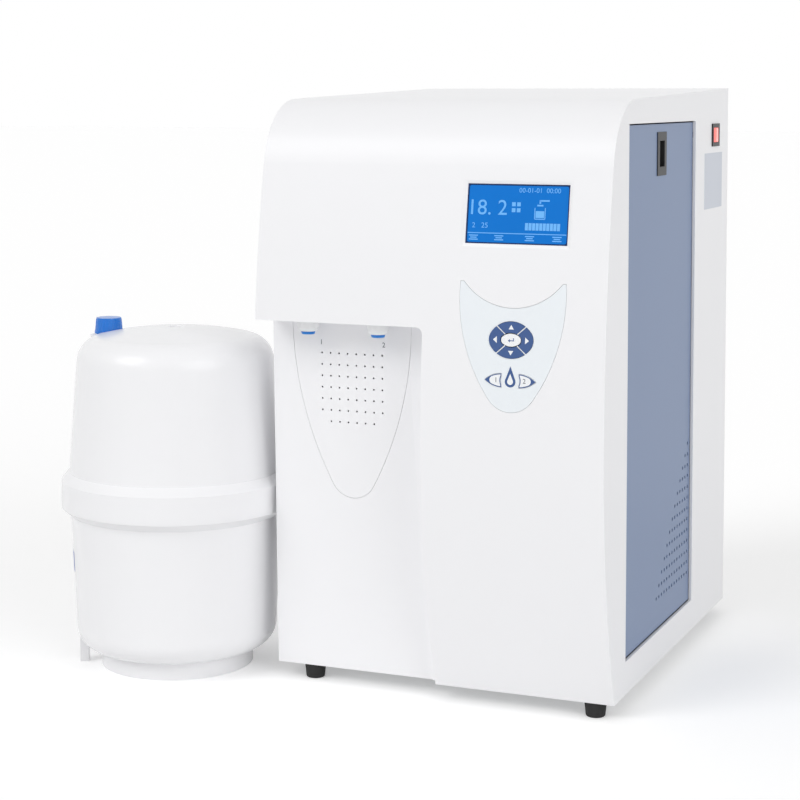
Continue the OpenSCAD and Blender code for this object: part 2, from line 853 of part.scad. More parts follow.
module latch_bezel() {
    floor_t = 2;
    pocket_x = door_face_x - latch_depth;
    color("dimgray") in_frame() difference() {
        union() {
            block([door_face_x, latch_y - latch_w / 2, latch_z - latch_h / 2],
                  [door_face_x + 1, latch_y + latch_w / 2, latch_z + latch_h / 2]);
            block([pocket_x - floor_t, latch_y - latch_w / 2 + 2.2, latch_z - latch_h / 2 + 2.2],
                  [door_face_x + 0.5, latch_y + latch_w / 2 - 2.2, latch_z + latch_h / 2 - 2.2]);
        }
        block([pocket_x - 2 * floor_t, latch_y - slot_w / 2, latch_z - slot_h / 2],
              [body_w, latch_y + slot_w / 2, latch_z + slot_h / 2]);
    }
}

// Thumb tab in the slot, a plate behind it, and a hook that slides down out of the keeper.
module latch_slider() {
    back_t = 2;
    reach = slider_x - keeper_x + 4.5;
    arm_z = tab_z + tab_h - 2;
    color("gray") in_frame() difference() {
        union() {
            block([slider_x, latch_y - slot_w / 2 + 0.3, tab_z],
                  [door_face_x - latch_depth + 3, latch_y + slot_w / 2 - 0.3, tab_z + tab_h]);
            block([slider_x - back_t, latch_y - slot_w / 2 - 1.5, tab_z - 8],
                  [slider_x, latch_y + slot_w / 2 + 1.5, tab_z + tab_h + 2]);
            block([slider_x - reach, latch_y - 5, arm_z], [slider_x - 1, latch_y + 5, arm_z + 4]);
            block([slider_x - reach, latch_y - 5, arm_z], [slider_x - reach + 3, latch_y + 5, hook_z]);
        }
        translate([door_face_x - latch_depth + 5, latch_y - slot_w, tab_z + tab_h / 2])
            rotate([-90, 0, 0]) cylinder(r = 4.5, h = 2 * slot_w);
    }
}

module hinge_brackets() {
    reach = 6;
    t = 3;
    color("silver") in_frame() for (side = [-1, 1]) {
        edge_y = side < 0 ? door_y : door_y + door_w;
        y_in = edge_y + side * (door_gap + 0.5);
        y_out = y_in + side * t;
        block([door_pin_x - 12, min(y_in, y_out), base_top], [door_pin_x + 5, max(y_in, y_out),
              door_pin_z + 8]);
        block([door_pin_x - 12, min(y_in, y_out + side * 14), base_top],
              [door_pin_x + 5, max(y_in, y_out + side * 14), base_top + 2]);
        translate([door_pin_x, min(y_in + side, y_in - side * reach), door_pin_z]) rotate([-90, 0, 0])
            cylinder(r = pin_r, h = reach + 1);
    }
}

module switch_frame() {
    color("black") in_frame() difference() {
        union() {
            block([body_w, switch_y - switch_w / 2, switch_z - switch_h / 2],
                  [body_w + switch_proud, switch_y + switch_w / 2, switch_z + switch_h / 2]);
            block([body_w - 18, switch_y - switch_w / 2 + 2.2, switch_z - switch_h / 2 + 2.2],
                  [body_w + 0.5, switch_y + switch_w / 2 - 2.2, switch_z + switch_h / 2 - 2.2]);
            for (y = [-8, 0, 8]) block([body_w - 26, switch_y + y - 0.4, switch_z - 3],
                                       [body_w - 17, switch_y + y + 0.4, switch_z + 3]);
        }
        block([body_w - 15, switch_y - rocker_r - 0.3, switch_z - rocker_h / 2 - 0.3],
              [body_w + 5, switch_y + rocker_r + 0.3, switch_z + rocker_h / 2 + 0.3]);
        translate([body_w - pivot_depth, switch_y, switch_z - rocker_h / 2 - 1.5])
            cylinder(r = pivot_r + 0.05, h = rocker_h + 3, $fn = 32);
    }
}

// The rocker turns on two trunnions about an upright axis just behind the wall.
module rocker() {
    valley = 5;
    low = -5;
    crest = rocker_r * [sin(crest_angle), cos(crest_angle)];
    color("red") in_frame() translate([body_w - pivot_depth, switch_y, switch_z]) {
        translate([0, 0, -rocker_h / 2]) rotate([0, 0, rocker_tilt]) intersection() {
            cylinder(r = rocker_r, h = rocker_h);
            linear_extrude(rocker_h) polygon([[low, -rocker_r - 1], [crest[0], -rocker_r - 1],
                [crest[0], -crest[1]], [valley, 0], crest, [crest[0], rocker_r + 1],
                [low, rocker_r + 1]]);
        }
        translate([0, 0, -rocker_h / 2 - 1.3]) cylinder(r = pivot_r, h = rocker_h + 2.6, $fn = 32);
    }
}

function foot_places() = [[36, bay_bottom_y + 12], [body_w - 22, 52], [36, body_d - 45],
                          [body_w - 36, body_d - 45]];

module feet() {
    color("black") in_frame() for (p = foot_places()) translate([p[0], p[1], 0]) difference() {
        union() {
            rotate_extrude() polygon([[0, 0], [foot_low_r - 1, 0], [foot_low_r, 1],
                                      [foot_top_r, foot_h], [0, foot_h]]);
        }
        translate([0, 0, -eps]) cylinder(r = 4, h = foot_h - 4);
        translate([0, 0, -eps]) cylinder(r = 2.2, h = foot_h + 2 * eps);
    }
}

module filter_bracket() {
    y0 = first_cartridge_y - cartridge_r;
    y1 = cartridge_y(cartridges) + cartridge_r;
    window_w = 40;
    keeper_top = hook_z + 8;
    color("silver") in_frame() {
        difference() {
            union() {
                block([bracket_x, y0, base_top], [bracket_x + 2, y1, head_z + head_h]);
                block([bracket_x - 18, y0, base_top], [bracket_x + 2, y1, base_top + 2]);
            }
            for (i = [0:2]) for (y = [y0 + 12, y1 - window_w - 12]) {
                along_x(bracket_x - eps, bracket_x + 3) translate([y, base_top + 50 + i * 130])
                    square([window_w, 80]);
            }
        }
        block([bracket_x + 2.05, latch_y - 9, head_z + head_h - 3],
              [bracket_x + 4, latch_y + 9, keeper_top]);
        block([bracket_x + 2.05, latch_y - 9, keeper_top - 2.5],
              [keeper_x + 3, latch_y + 9, keeper_top]);
        block([keeper_x, latch_y - 9, hook_z + 0.3], [keeper_x + 3, latch_y + 9, keeper_top]);
    }
}

module filter_heads() {
    y0 = first_cartridge_y - cartridge_r;
    y1 = cartridge_y(cartridges) + cartridge_r;
    color("whitesmoke") in_frame() difference() {
        union() {
            block([bracket_x + 2.1, y0, head_z + 14], [cartridge_x + 8, y1, head_z + head_h - 4]);
            for (i = [1:cartridges]) translate([cartridge_x, cartridge_y(i), head_z]) {
                cylinder(r = cartridge_r - 2, h = head_h - 8);
                cylinder(r = 5, h = head_h + 8);
            }
        }
        for (i = [1:cartridges]) translate([cartridge_x, cartridge_y(i), head_z]) {
            translate([0, 0, -eps]) cylinder(r = neck_r + neck_gap, h = neck_len + 2 + eps);
            cylinder(r = tube_r, h = 3 * head_h);
        }
    }
}

// One cartridge: domed foot with a twist grip, straight wall, shoulder and neck.
module cartridge(i) {
    body_top = -6;
    foot_r = 8;
    grip_h = 12;
    color("white") in_frame() translate([cartridge_x, cartridge_y(i), head_z]) {
        rotate_extrude() difference() {
            union() {
                translate([0, body_top - cartridge_len + foot_r])
                    square([cartridge_r, cartridge_len - foot_r - 5]);
                translate([0, body_top - cartridge_len]) square([cartridge_r - foot_r, foot_r + 1]);
                translate([cartridge_r - foot_r, body_top - cartridge_len + foot_r]) circle(foot_r);
                translate([0, body_top - 6]) square([cartridge_r - 4, 6]);
                square_ring(neck_r, neck_len + 7, body_top - 1);
            }
            translate([-cartridge_r, body_top - cartridge_len - eps])
                square([cartridge_r, cartridge_len + 40]);
            translate([-eps, neck_len - 8]) square([tube_r + eps, 20]);
        }
        translate([0, 0, body_top - cartridge_len - grip_h]) intersection() {
            cylinder(r = cartridge_r - 6, h = grip_h + 2);
            translate([-4, -cartridge_r, 0]) cube([8, 2 * cartridge_r, grip_h + 2]);
        }
    }
}

module square_ring(r, h, z) {
    translate([0, z]) square([r, h]);
}

module cartridge_1() {
    cartridge(1);
}

module cartridge_2() {
    cartridge(2);
}

module cartridge_3() {
    cartridge(3);
}

module cartridge_4() {
    cartridge(4);
}

module osmosis_vessel() {
    cap = 24;
    color("white") in_frame() translate([vessel_x, vessel_y, 0]) {
        translate([0, 0, vessel_z0 + cap]) cylinder(r = vessel_r, h = vessel_z1 - vessel_z0 - 2 * cap);
        for (z = [vessel_z0, vessel_z1 - cap]) translate([0, 0, z]) cylinder(r = vessel_r + 2.5, h = cap);
        translate([0, 0, vessel_z1]) cylinder(r = 6, h = 10);
        translate([0, 0, vessel_z0 - 10]) cylinder(r = 6, h = 11);
    }
}

// Spring clips that hold a vertical vessel of radius r to the back of the bracket.
module clips(y, r) {
    for (z = [vessel_z0 + 60, vessel_z1 - 80]) translate([vessel_x, y, z]) difference() {
        union() {
            cylinder(r = r + 3, h = 16);
            block([0, -10, 0], [bracket_x - vessel_x - 0.1, 10, 16]);
        }
        translate([0, 0, -eps]) cylinder(r = r + 0.2, h = 18);
        block([-2 * r, -r * 0.7, -eps], [0, r * 0.7, 18]);
    }
}

module vessel_clips() {
    color("dimgray") in_frame() clips(vessel_y, vessel_r);
}

module uv_clips() {
    color("dimgray") in_frame() clips(uv_y, uv_r);
}

module uv_chamber() {
    color("lightgray") in_frame() translate([vessel_x, uv_y, 0]) difference() {
        union() {
            translate([0, 0, vessel_z0 + 10]) cylinder(r = uv_r, h = vessel_z1 - vessel_z0 - 20);
            for (z = [vessel_z0 + 10, vessel_z1 - 24]) translate([0, 0, z]) cylinder(r = uv_r + 3, h = 14);
            translate([0, 0, vessel_z1 - 40]) rotate([0, -90, 0]) cylinder(r = 6, h = uv_r + 14);
        }
        translate([0, 0, vessel_z0 + 16]) cylinder(r = uv_r - 2, h = vessel_z1 - vessel_z0 - 32);
        translate([0, 0, vessel_z0]) cylinder(r = 8.2, h = vessel_z1);
        translate([-uv_r - 20, 0, vessel_z1 - 40]) rotate([0, 90, 0]) cylinder(r = tube_r, h = uv_r + 10);
    }
}

module uv_lamp() {
    color("aliceblue") in_frame() translate([vessel_x, uv_y, 0]) {
        translate([0, 0, vessel_z0 + 4]) cylinder(r = 8, h = vessel_z1 - vessel_z0);
        translate([0, 0, vessel_z1 - 9.9]) cylinder(r = 12, h = 18);
    }
}

module pump_motor() {
    color("dimgray") in_frame() translate([215, pump_y, pump_z]) rotate([0, 90, 0]) {
        cylinder(r = 31, h = 82);
        cylinder(r = 33, h = 10);
        translate([0, 0, 82]) cylinder(r = 9, h = 4);
    }
}

module pump_head() {
    color("black") in_frame() translate([160, pump_y, pump_z]) difference() {
        union() {
            block([4, -29, -29], [54.9, 29, 29]);
            block([0, -24, -24], [5, 24, 24]);
            translate([27, 0, 28]) cylinder(r = 7, h = 12);
            translate([27, 28, 0]) rotate([-90, 0, 0]) cylinder(r = 7, h = 12);
        }
        translate([27, 0, 20]) cylinder(r = tube_r, h = 30);
    }
}

module pump_mount() {
    low = base_top;
    color("black") in_frame() difference() {
        union() {
            block([150, pump_y - 34, low], [300, pump_y + 34, low + 5]);
            for (x = [172, 250]) block([x, pump_y - 26, low + 4], [x + 20, pump_y + 26, pump_z - 12]);
        }
        translate([150, pump_y, pump_z]) rotate([0, 90, 0]) cylinder(r = 31.2, h = 200);
        block([159, pump_y - 29.2, pump_z - 29.2], [214.9, pump_y + 29.2, pump_z]);
    }
}

module solenoid_valves() {
    color("royalblue") in_frame() for (x = [port_x, port_x + 2 * port_pitch]) translate([x, 300, base_top]) {
        block([-15, -13, 0], [15, 13, 20]);
        translate([0, 0, 19]) cylinder(r = 10, h = 7);
        difference() {
            block([-14, -14, 25], [14, 14, 48]);
            translate([0, 0, 24]) cylinder(r = 2, h = 30);
        }
        translate([0, 0, 47]) cylinder(r = 6, h = 10);
    }
}

module conductivity_cell() {
    color("ivory") in_frame() translate([cell_x, uv_y, cell_z]) rotate([0, 90, 0]) {
        cylinder(r = 9, h = 44);
        translate([0, 0, -4]) cylinder(r = 6, h = 52);
        translate([0, 0, 22]) rotate([0, 90, 0]) cylinder(r = 6.5, h = 20);
    }
}

module power_supply() {
    x0 = 22;
    y0 = body_d - 150;
    z1 = base_top + 42;
    color("silver") in_frame() difference() {
        block([x0, y0, base_top], [x0 + 98, y0 + 118, z1]);
        block([x0 + 1.5, y0 + 1.5, base_top + 8], [x0 + 96.5, y0 + 116.5, z1 - 1.5]);
        for (i = [0:8]) for (j = [0:3]) {
            translate([x0 + 14 + j * 22, y0 + 14 + i * 11, z1 - 3]) cylinder(r = 3, h = 5, $fn = 24);
        }
    }
}

module control_board() {
    y1 = rear_y - 8;
    color("seagreen") in_frame() {
        difference() {
            block([60, y1 - 1.6, board_low], [230, y1, board_low + 120]);
            for (x = [66, 224]) for (z = [6, 114]) {
                translate([x, y1 - 3, board_low + z]) rotate([-90, 0, 0])
                    cylinder(r = 1.7, h = 6, $fn = 24);
            }
        }
        block([75, y1 - 32, board_low + 12], [115, y1 - 1.5, board_low + 46]);
        block([125, y1 - 22, board_low + 12], [170, y1 - 1.5, board_low + 22]);
        block([180, y1 - 18, board_low + 14], [215, y1 - 1.5, board_low + 60]);
        for (i = [0:5]) block([74 + i * 18, y1 - 14, board_low + 100], [88 + i * 18, y1 - 1.5,
                              board_low + 112]);
        translate([100, y1 - 25, board_low + 72]) rotate([-90, 0, 0]) cylinder(r = 9, h = 23.6);
        translate([125, y1 - 25, board_low + 72]) rotate([-90, 0, 0]) cylinder(r = 9, h = 23.6);
    }
}

module board_standoffs() {
    color("gold") in_frame() for (x = [66, 224]) for (z = [6, 114]) {
        translate([x, rear_y - 8, board_low + z]) rotate([-90, 0, 0]) difference() {
            cylinder(r = 4, h = 8);
            translate([0, 0, -eps]) cylinder(r = 1.6, h = 6, $fn = 24);
        }
    }
}

// A tube of radius r along axis-parallel legs, with round elbows between them.
module pipe(points, r, bend) {
    last = len(points) - 1;
    for (i = [0:last - 1]) {
        leg = points[i + 1] - points[i];
        dir = leg / norm(leg);
        from = points[i] + (i == 0 ? 0 : bend) * dir;
        to = points[i + 1] - (i == last - 1 ? 0 : bend) * dir;
        rod(from, to, r);
    }
    for (i = [1:last - 1]) {
        into = points[i] - points[i - 1];
        out = points[i + 1] - points[i];
        elbow(points[i], into / norm(into), out / norm(out), r, bend);
    }
}

module rod(from, to, r) {
    dir = (to - from) / norm(to - from);
    side = abs(dir[2]) > 0.5 ? [1, 0, 0] : [0, 0, 1];
    place(from, side, cross(dir, side)) cylinder(r = r, h = norm(to - from), $fn = 32);
}

// Puts local x, y on the two given directions, and local z on their cross product.
module place(origin, x_dir, y_dir) {
    z_dir = cross(x_dir, y_dir);
    multmatrix([[x_dir[0], y_dir[0], z_dir[0], origin[0]],
                [x_dir[1], y_dir[1], z_dir[1], origin[1]],
                [x_dir[2], y_dir[2], z_dir[2], origin[2]],
                [0, 0, 0, 1]]) children();
}

module elbow(corner, into, out, r, bend) {
    place(corner - bend * into + bend * out, -out, into)
        rotate_extrude(angle = 90, $fn = 48) translate([bend, 0]) circle(r, $fn = 32);
}

module tube_ultrapure() {
    x = bay_axis_x - outlet_pitch / 2;
    color("white", 0.8) in_frame() {
        pipe([[x, outlet_y, outlet_tail_z], [x, outlet_y, outlet_tail_z + 34],
              [x, uv_y, outlet_tail_z + 34], [x, uv_y, cell_z], [cell_x - 4, uv_y, cell_z]],
             tube_r, bend_r);
        pipe([[cell_x + 48, uv_y, cell_z], [vessel_x - uv_r - 14 - 2 * bend_r, uv_y, cell_z],
              [vessel_x - uv_r - 14 - 2 * bend_r, uv_y, vessel_z1 - 40],
              [vessel_x - uv_r - 14, uv_y, vessel_z1 - 40]], tube_r, bend_r * 0.9);
    }
}

module tube_osmosis() {
    x = bay_axis_x + outlet_pitch / 2;
    color("white", 0.8) in_frame()
        pipe([[x, outlet_y, outlet_tail_z], [x, outlet_y, outlet_tail_z + 34],
              [x, vessel_y, outlet_tail_z + 34], [x, vessel_y, vessel_z1 + 40],
              [vessel_x, vessel_y, vessel_z1 + 40], [vessel_x, vessel_y, vessel_z1 + 10]],
             tube_r, bend_r);
}

module tube_feed() {
    color("white", 0.8) in_frame()
        pipe([[port_x, rear_y - 16, port_z], [port_x, 300, port_z + 0], [port_x, 300, base_top + 57]],
             tube_r, 5);
}

module tube_pressure() {
    y = cartridge_y(cartridges);
    z = head_z + head_h + 36;
    color("white", 0.8) in_frame()
        pipe([[187, pump_y, pump_z + 40], [187, pump_y, z], [187, y, z], [cartridge_x, y, z],
              [cartridge_x, y, head_z + head_h + 8]], tube_r, bend_r);
}

module tube_tank() {
    x = port_x + port_pitch;
    z = vessel_z0 - 10;
    color("white", 0.8) in_frame()
        pipe([[x, rear_y - 16, port_z], [x, vessel_y, port_z], [vessel_x, vessel_y, port_z],
              [vessel_x, vessel_y, z]], tube_r, bend_r);
}

module tube_waste() {
    x = port_x + 2 * port_pitch;
    color("white", 0.8) in_frame()
        pipe([[x, rear_y - 16, port_z], [x, 300, port_z], [x, 300, base_top + 57]], tube_r, 5);
}

module rear_ports() {
    color("dimgray") in_frame() for (i = [0:2]) {
        translate([port_x + i * port_pitch, body_d, port_z]) rotate([-90, 0, 0]) difference() {
            union() {
                translate([0, 0, 0.05]) cylinder(r = 11, h = 5, $fn = 6);
                cylinder(r = 9, h = port_len);
                translate([0, 0, -sheet_t - 16]) cylinder(r = 6, h = port_len);
            }
            translate([0, 0, port_len - 16]) cylinder(r = port_bore_r, h = 20);
        }
    }
}

module port_nuts() {
    color("gainsboro") in_frame() for (i = [0:2]) {
        translate([port_x + i * port_pitch, rear_y - 0.1, port_z]) rotate([90, 0, 0]) difference() {
            cylinder(r = 11, h = 6, $fn = 6);
            translate([0, 0, -eps]) cylinder(r = 6.15, h = 8);
        }
    }
}

module mains_inlet() {
    color("black") in_frame() translate([inlet_x, body_d, port_z]) {
        difference() {
            union() {
                block([-25, 0, -12], [25, 3, 12]);
                block([-13.8, -26, -9.8], [13.8, 1, 9.8]);
            }
            block([-11.5, -14, -7.5], [11.5, 4, 7.5]);
            for (x = [-20, 20]) translate([x, -1, 0]) rotate([-90, 0, 0]) cylinder(r = 1.8, h = 6);
        }
        for (p = [[-7, -2], [0, 2], [7, -2]]) {
            block([p[0] - 1, -15, p[1] - 2.5], [p[0] + 1, -4, p[1] + 2.5]);
        }
    }
}

// Half-section of the tank's upper shell, inset by t: taper, shoulder arc and dome arc.
module tank_upper_profile(t) {
    low_r = tank_r - 7.5;
    top_r = tank_r - 16.5;
    shoulder_r = 28;
    shoulder_z = tank_h - 36;
    a = top_r - shoulder_r;
    rise = tank_h - shoulder_z;
    dome_r = (a * a + rise * rise - shoulder_r * shoulder_r) / (2 * (rise - shoulder_r));
    reach = sqrt(a * a + pow(dome_r - rise, 2));
    tangent = a * dome_r / reach;
    polygon([[0, band_z0 - 5], [low_r - t, band_z0 - 5], [low_r - t, band_z1],
             [top_r - t, shoulder_z], [0, shoulder_z]]);
    translate([a, shoulder_z]) circle(shoulder_r - t, $fn = 96);
    intersection() {
        translate([0, tank_h - dome_r]) circle(dome_r - t, $fn = long_fn);
        translate([0, shoulder_z - 1]) square([tangent, 2 * rise]);
    }
}

module tank_lower_profile(t) {
    top_r = tank_r - 9.5;
    low_r = tank_r - 15;
    corner_r = 24;
    bottom = tank_bottom;
    polygon([[0, bottom + corner_r], [low_r - t, bottom + corner_r], [top_r - t, band_z0],
             [top_r - t, band_z0 + 20], [0, band_z0 + 20]]);
    translate([low_r - corner_r, bottom + corner_r]) circle(corner_r - t, $fn = 96);
    translate([0, bottom + t]) square([low_r - corner_r, corner_r]);
}

module tank_upper() {
    color("white") in_frame() translate([tank_x, tank_y, 0]) difference() {
        union() {
            rotate_extrude($fn = 128) difference() {
                union() {
                    intersection() {
                        tank_upper_profile(0);
                        translate([0, weld_z]) square([tank_r, tank_h]);
                    }
                    polygon([[0, weld_z], [tank_r, weld_z], [tank_r, band_z1],
                             [tank_r - 7.5, band_z1 + 9], [0, band_z1 + 9]]);
                }
                difference() {
                    tank_upper_profile(tank_t);
                    translate([0, tank_h - tank_t - 3]) square([9, 8]);
                }
                translate([0, tank_h - 1]) square([7, 2]);
                translate([-tank_r, 0]) square([tank_r, 2 * tank_h]);
                translate([0, weld_z - eps]) square([tank_r - 6.8, eps + 1.05]);
            }
            translate([-port_offset, 0, tank_h - 40]) cylinder(r = boss_r, h = boss_top - tank_h + 40);
        }
        translate([-port_offset, 0, tank_h - 60]) cylinder(r = 9.1, h = 100);
        translate([-port_offset, 0, boss_top]) cylinder(r = 16.5, h = 30);
    }
}

module tank_lower() {
    bottom = tank_bottom;
    color("white") in_frame() translate([tank_x, tank_y, 0]) {
        rotate_extrude($fn = 128) difference() {
            union() {
                intersection() {
                    tank_lower_profile(0);
                    square([tank_r, weld_z]);
                }
                polygon([[0, band_z0 - 8], [tank_r - 9.5, band_z0 - 8], [tank_r, band_z0],
                         [tank_r, weld_z], [0, weld_z]]);
                square([tank_ring_r, bottom + 1]);
            }
            intersection() {
                tank_lower_profile(tank_t);
                square([tank_r, weld_z + eps]);
            }
            translate([0, weld_z - 1.05]) square([tank_r - 6.8, 3]);
            translate([-tank_r, -eps]) square([tank_r, 2 * tank_h]);
            translate([0, -eps]) square([tank_ring_r - tank_t, bottom + eps]);
        }
        for (a = [115, 205]) rotate([0, 0, a]) translate([tank_ring_r + 13.5, -6, 0])
            cube([9, 12, bottom + 8]);
    }
}

module tank_diaphragm() {
    color("royalblue") in_frame() translate([tank_x, tank_y, weld_z - 1]) difference() {
        cylinder(r = tank_r - 7, h = 2, $fn = 128);
        translate([0, 0, 1]) cylinder(r = tank_r - 20, h = 2, $fn = 128);
    }
}

module tank_port() {
    color("whitesmoke") in_frame() translate([port_tx, tank_y, 0]) difference() {
        union() {
            translate([0, 0, tank_h - 44]) cylinder(r = 9, h = 47);
            translate([0, 0, boss_top + 0.02]) cylinder(r = 11, h = 1.5);
            translate([0, 0, tank_h - 46]) cylinder(r = 13, h = 5.9);
        }
        translate([0, 0, tank_h - 50]) cylinder(r = 4, h = 80);
    }
}

module tank_cap() {
    ribs = 24;
    low = boss_top + 1.6;
    color("dodgerblue") in_frame() translate([port_tx, tank_y, low]) difference() {
        union() {
            cylinder(r1 = 14.4, r2 = 13, h = cap_h - 1.6);
            cylinder(r = 15, h = 2.4);
            for (i = [0:ribs - 1]) rotate([0, 0, i * 360 / ribs]) translate([13.8, 0, 2])
                rotate([0, -4.9, 0]) cylinder(r = 0.7, h = cap_h - 5, $fn = 16);
        }
        translate([0, 0, -eps]) cylinder(r = 9.3, h = cap_h - 4 + eps);
    }
}

casing();
base_plate();
rear_panel();
bay_liner();
splash_insert();
outlet_left();
outlet_right();
outlet_collets();
display_window();
display_module();
keypad_plate();
keypad_board();
drop_lens();
key_up();
key_right();
key_down();
key_left();
key_enter();
key_outlet_left();
key_outlet_right();
side_door();
latch_bezel();
latch_slider();
hinge_brackets();
switch_frame();
rocker();
feet();
filter_bracket();
filter_heads();
cartridge_1();
cartridge_2();
cartridge_3();
cartridge_4();
osmosis_vessel();
vessel_clips();
uv_chamber();
uv_lamp();
uv_clips();
pump_motor();
pump_head();
pump_mount();
solenoid_valves();
conductivity_cell();
power_supply();
control_board();
board_standoffs();
tube_ultrapure();
tube_osmosis();
tube_feed();
tube_pressure();
tube_tank();
tube_waste();
rear_ports();
port_nuts();
mains_inlet();
tank_upper();
tank_lower();
tank_diaphragm();
tank_port();
tank_cap();
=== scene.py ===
"""Looks of a bench-top ultrapure water system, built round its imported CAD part."""

import logging
import math
from dataclasses import dataclass
from enum import Enum
from typing import Any

import bmesh
import bpy
from mathutils import Matrix, Vector


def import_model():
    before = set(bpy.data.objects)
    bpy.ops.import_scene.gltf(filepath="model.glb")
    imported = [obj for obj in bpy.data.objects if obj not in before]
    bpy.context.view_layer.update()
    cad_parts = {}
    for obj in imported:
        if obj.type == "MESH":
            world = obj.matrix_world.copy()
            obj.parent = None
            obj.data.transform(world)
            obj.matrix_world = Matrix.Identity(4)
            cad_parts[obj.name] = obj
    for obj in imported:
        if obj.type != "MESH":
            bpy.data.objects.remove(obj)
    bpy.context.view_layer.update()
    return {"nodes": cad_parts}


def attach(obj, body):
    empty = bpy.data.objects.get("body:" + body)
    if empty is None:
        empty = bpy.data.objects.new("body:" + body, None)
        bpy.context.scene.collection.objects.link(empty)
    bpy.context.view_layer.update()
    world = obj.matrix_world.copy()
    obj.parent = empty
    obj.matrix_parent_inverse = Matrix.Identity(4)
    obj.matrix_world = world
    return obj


Mesh = bmesh.types.BMesh
Nodes = dict[str, bpy.types.Object]
Pair = tuple[float, float]
Box = tuple[float, float, float, float]

LOG = logging.getLogger("water_system")
MM = 0.001

# On a CAD node, vertices this near and faces this flat are one, and a steeper edge is sharp.
WELD_MM = 0.01
PLANAR_DEG = 0.3
CREASE_DEG = 32.0
# Faces across the casing's rim and across every other softened edge.
RIM_STEPS = 5
SOFT_STEPS = 3
# An edge steeper than this is sharp on a piece made here.
PIECE_CREASE_DEG = 35.0
# Drawn vertices this near are one, in mm.
MEET_MM = 1e-4
# Thickness of a print and of the display's dots, in mm.
INK_MM = 0.05
DOT_MM = 0.08
# Type size over the height of its digits.
TYPE_SIZE = 1.4
# How near a corner lies to the casing's side, its front or the bay's edges when it is on them.
ON_FACE_MM = 0.03
ON_FRONT_MM = 0.05
ON_EDGE_MM = 0.1
# Clouds of a mottled colour to the metre.
MOTTLE_PER_M = 14.0
# How deep light goes under a plastic's skin, in metres.
SKIN_M = 0.004
# Brushed and drawn lines run up the piece: their noise is drawn out fifty times along Z.
BRUSHED_STRETCH = (1.0, 1.0, 0.02)

# Where the cabinet's own corner (left side, front, bench) lies in the row frame, in mm.
CABINET_X = -60.043
CABINET_Y = -223.5


def linear(colour: str) -> tuple[float, ...]:
    """Turns an sRGB hex value into a linear colour.

    Args:
        colour: Six hex digits after a hash sign.

    Returns:
        Linear red, green and blue, and full opacity.
    """
    channels = [int(colour[i:i + 2], 16) / 255 for i in (1, 3, 5)]
    r, g, b = (c / 12.92 if c <= 0.04045 else ((c + 0.055) / 1.055) ** 2.4 for c in channels)
    return r, g, b, 1.0


def add_node(tree: bpy.types.NodeTree, kind: str, inputs: dict[Any, Any] | None = None,
             **settings: Any) -> bpy.types.Node:
    """Adds a shader node with its settings, values and links.

    Args:
        tree: The material's or world's node tree.
        kind: Blender's identifier of the node.
        inputs: Input name or index to a value, or to the output socket to link.
        **settings: Properties of the node itself.

    Returns:
        The new node.
    """
    node = tree.nodes.new(kind)
    for name, value in settings.items():
        setattr(node, name, value)
    for name, value in (inputs or {}).items():
        if isinstance(value, bpy.types.NodeSocket):
            tree.links.new(value, node.inputs[name])
        else:
            node.inputs[name].default_value = value
    return node


class Grain(Enum):
    """How a surface was made, which decides its fine relief."""

    SMOOTH = "smooth"
    MOULDED = "moulded"
    POWDER = "powder"
    BRUSHED = "brushed"


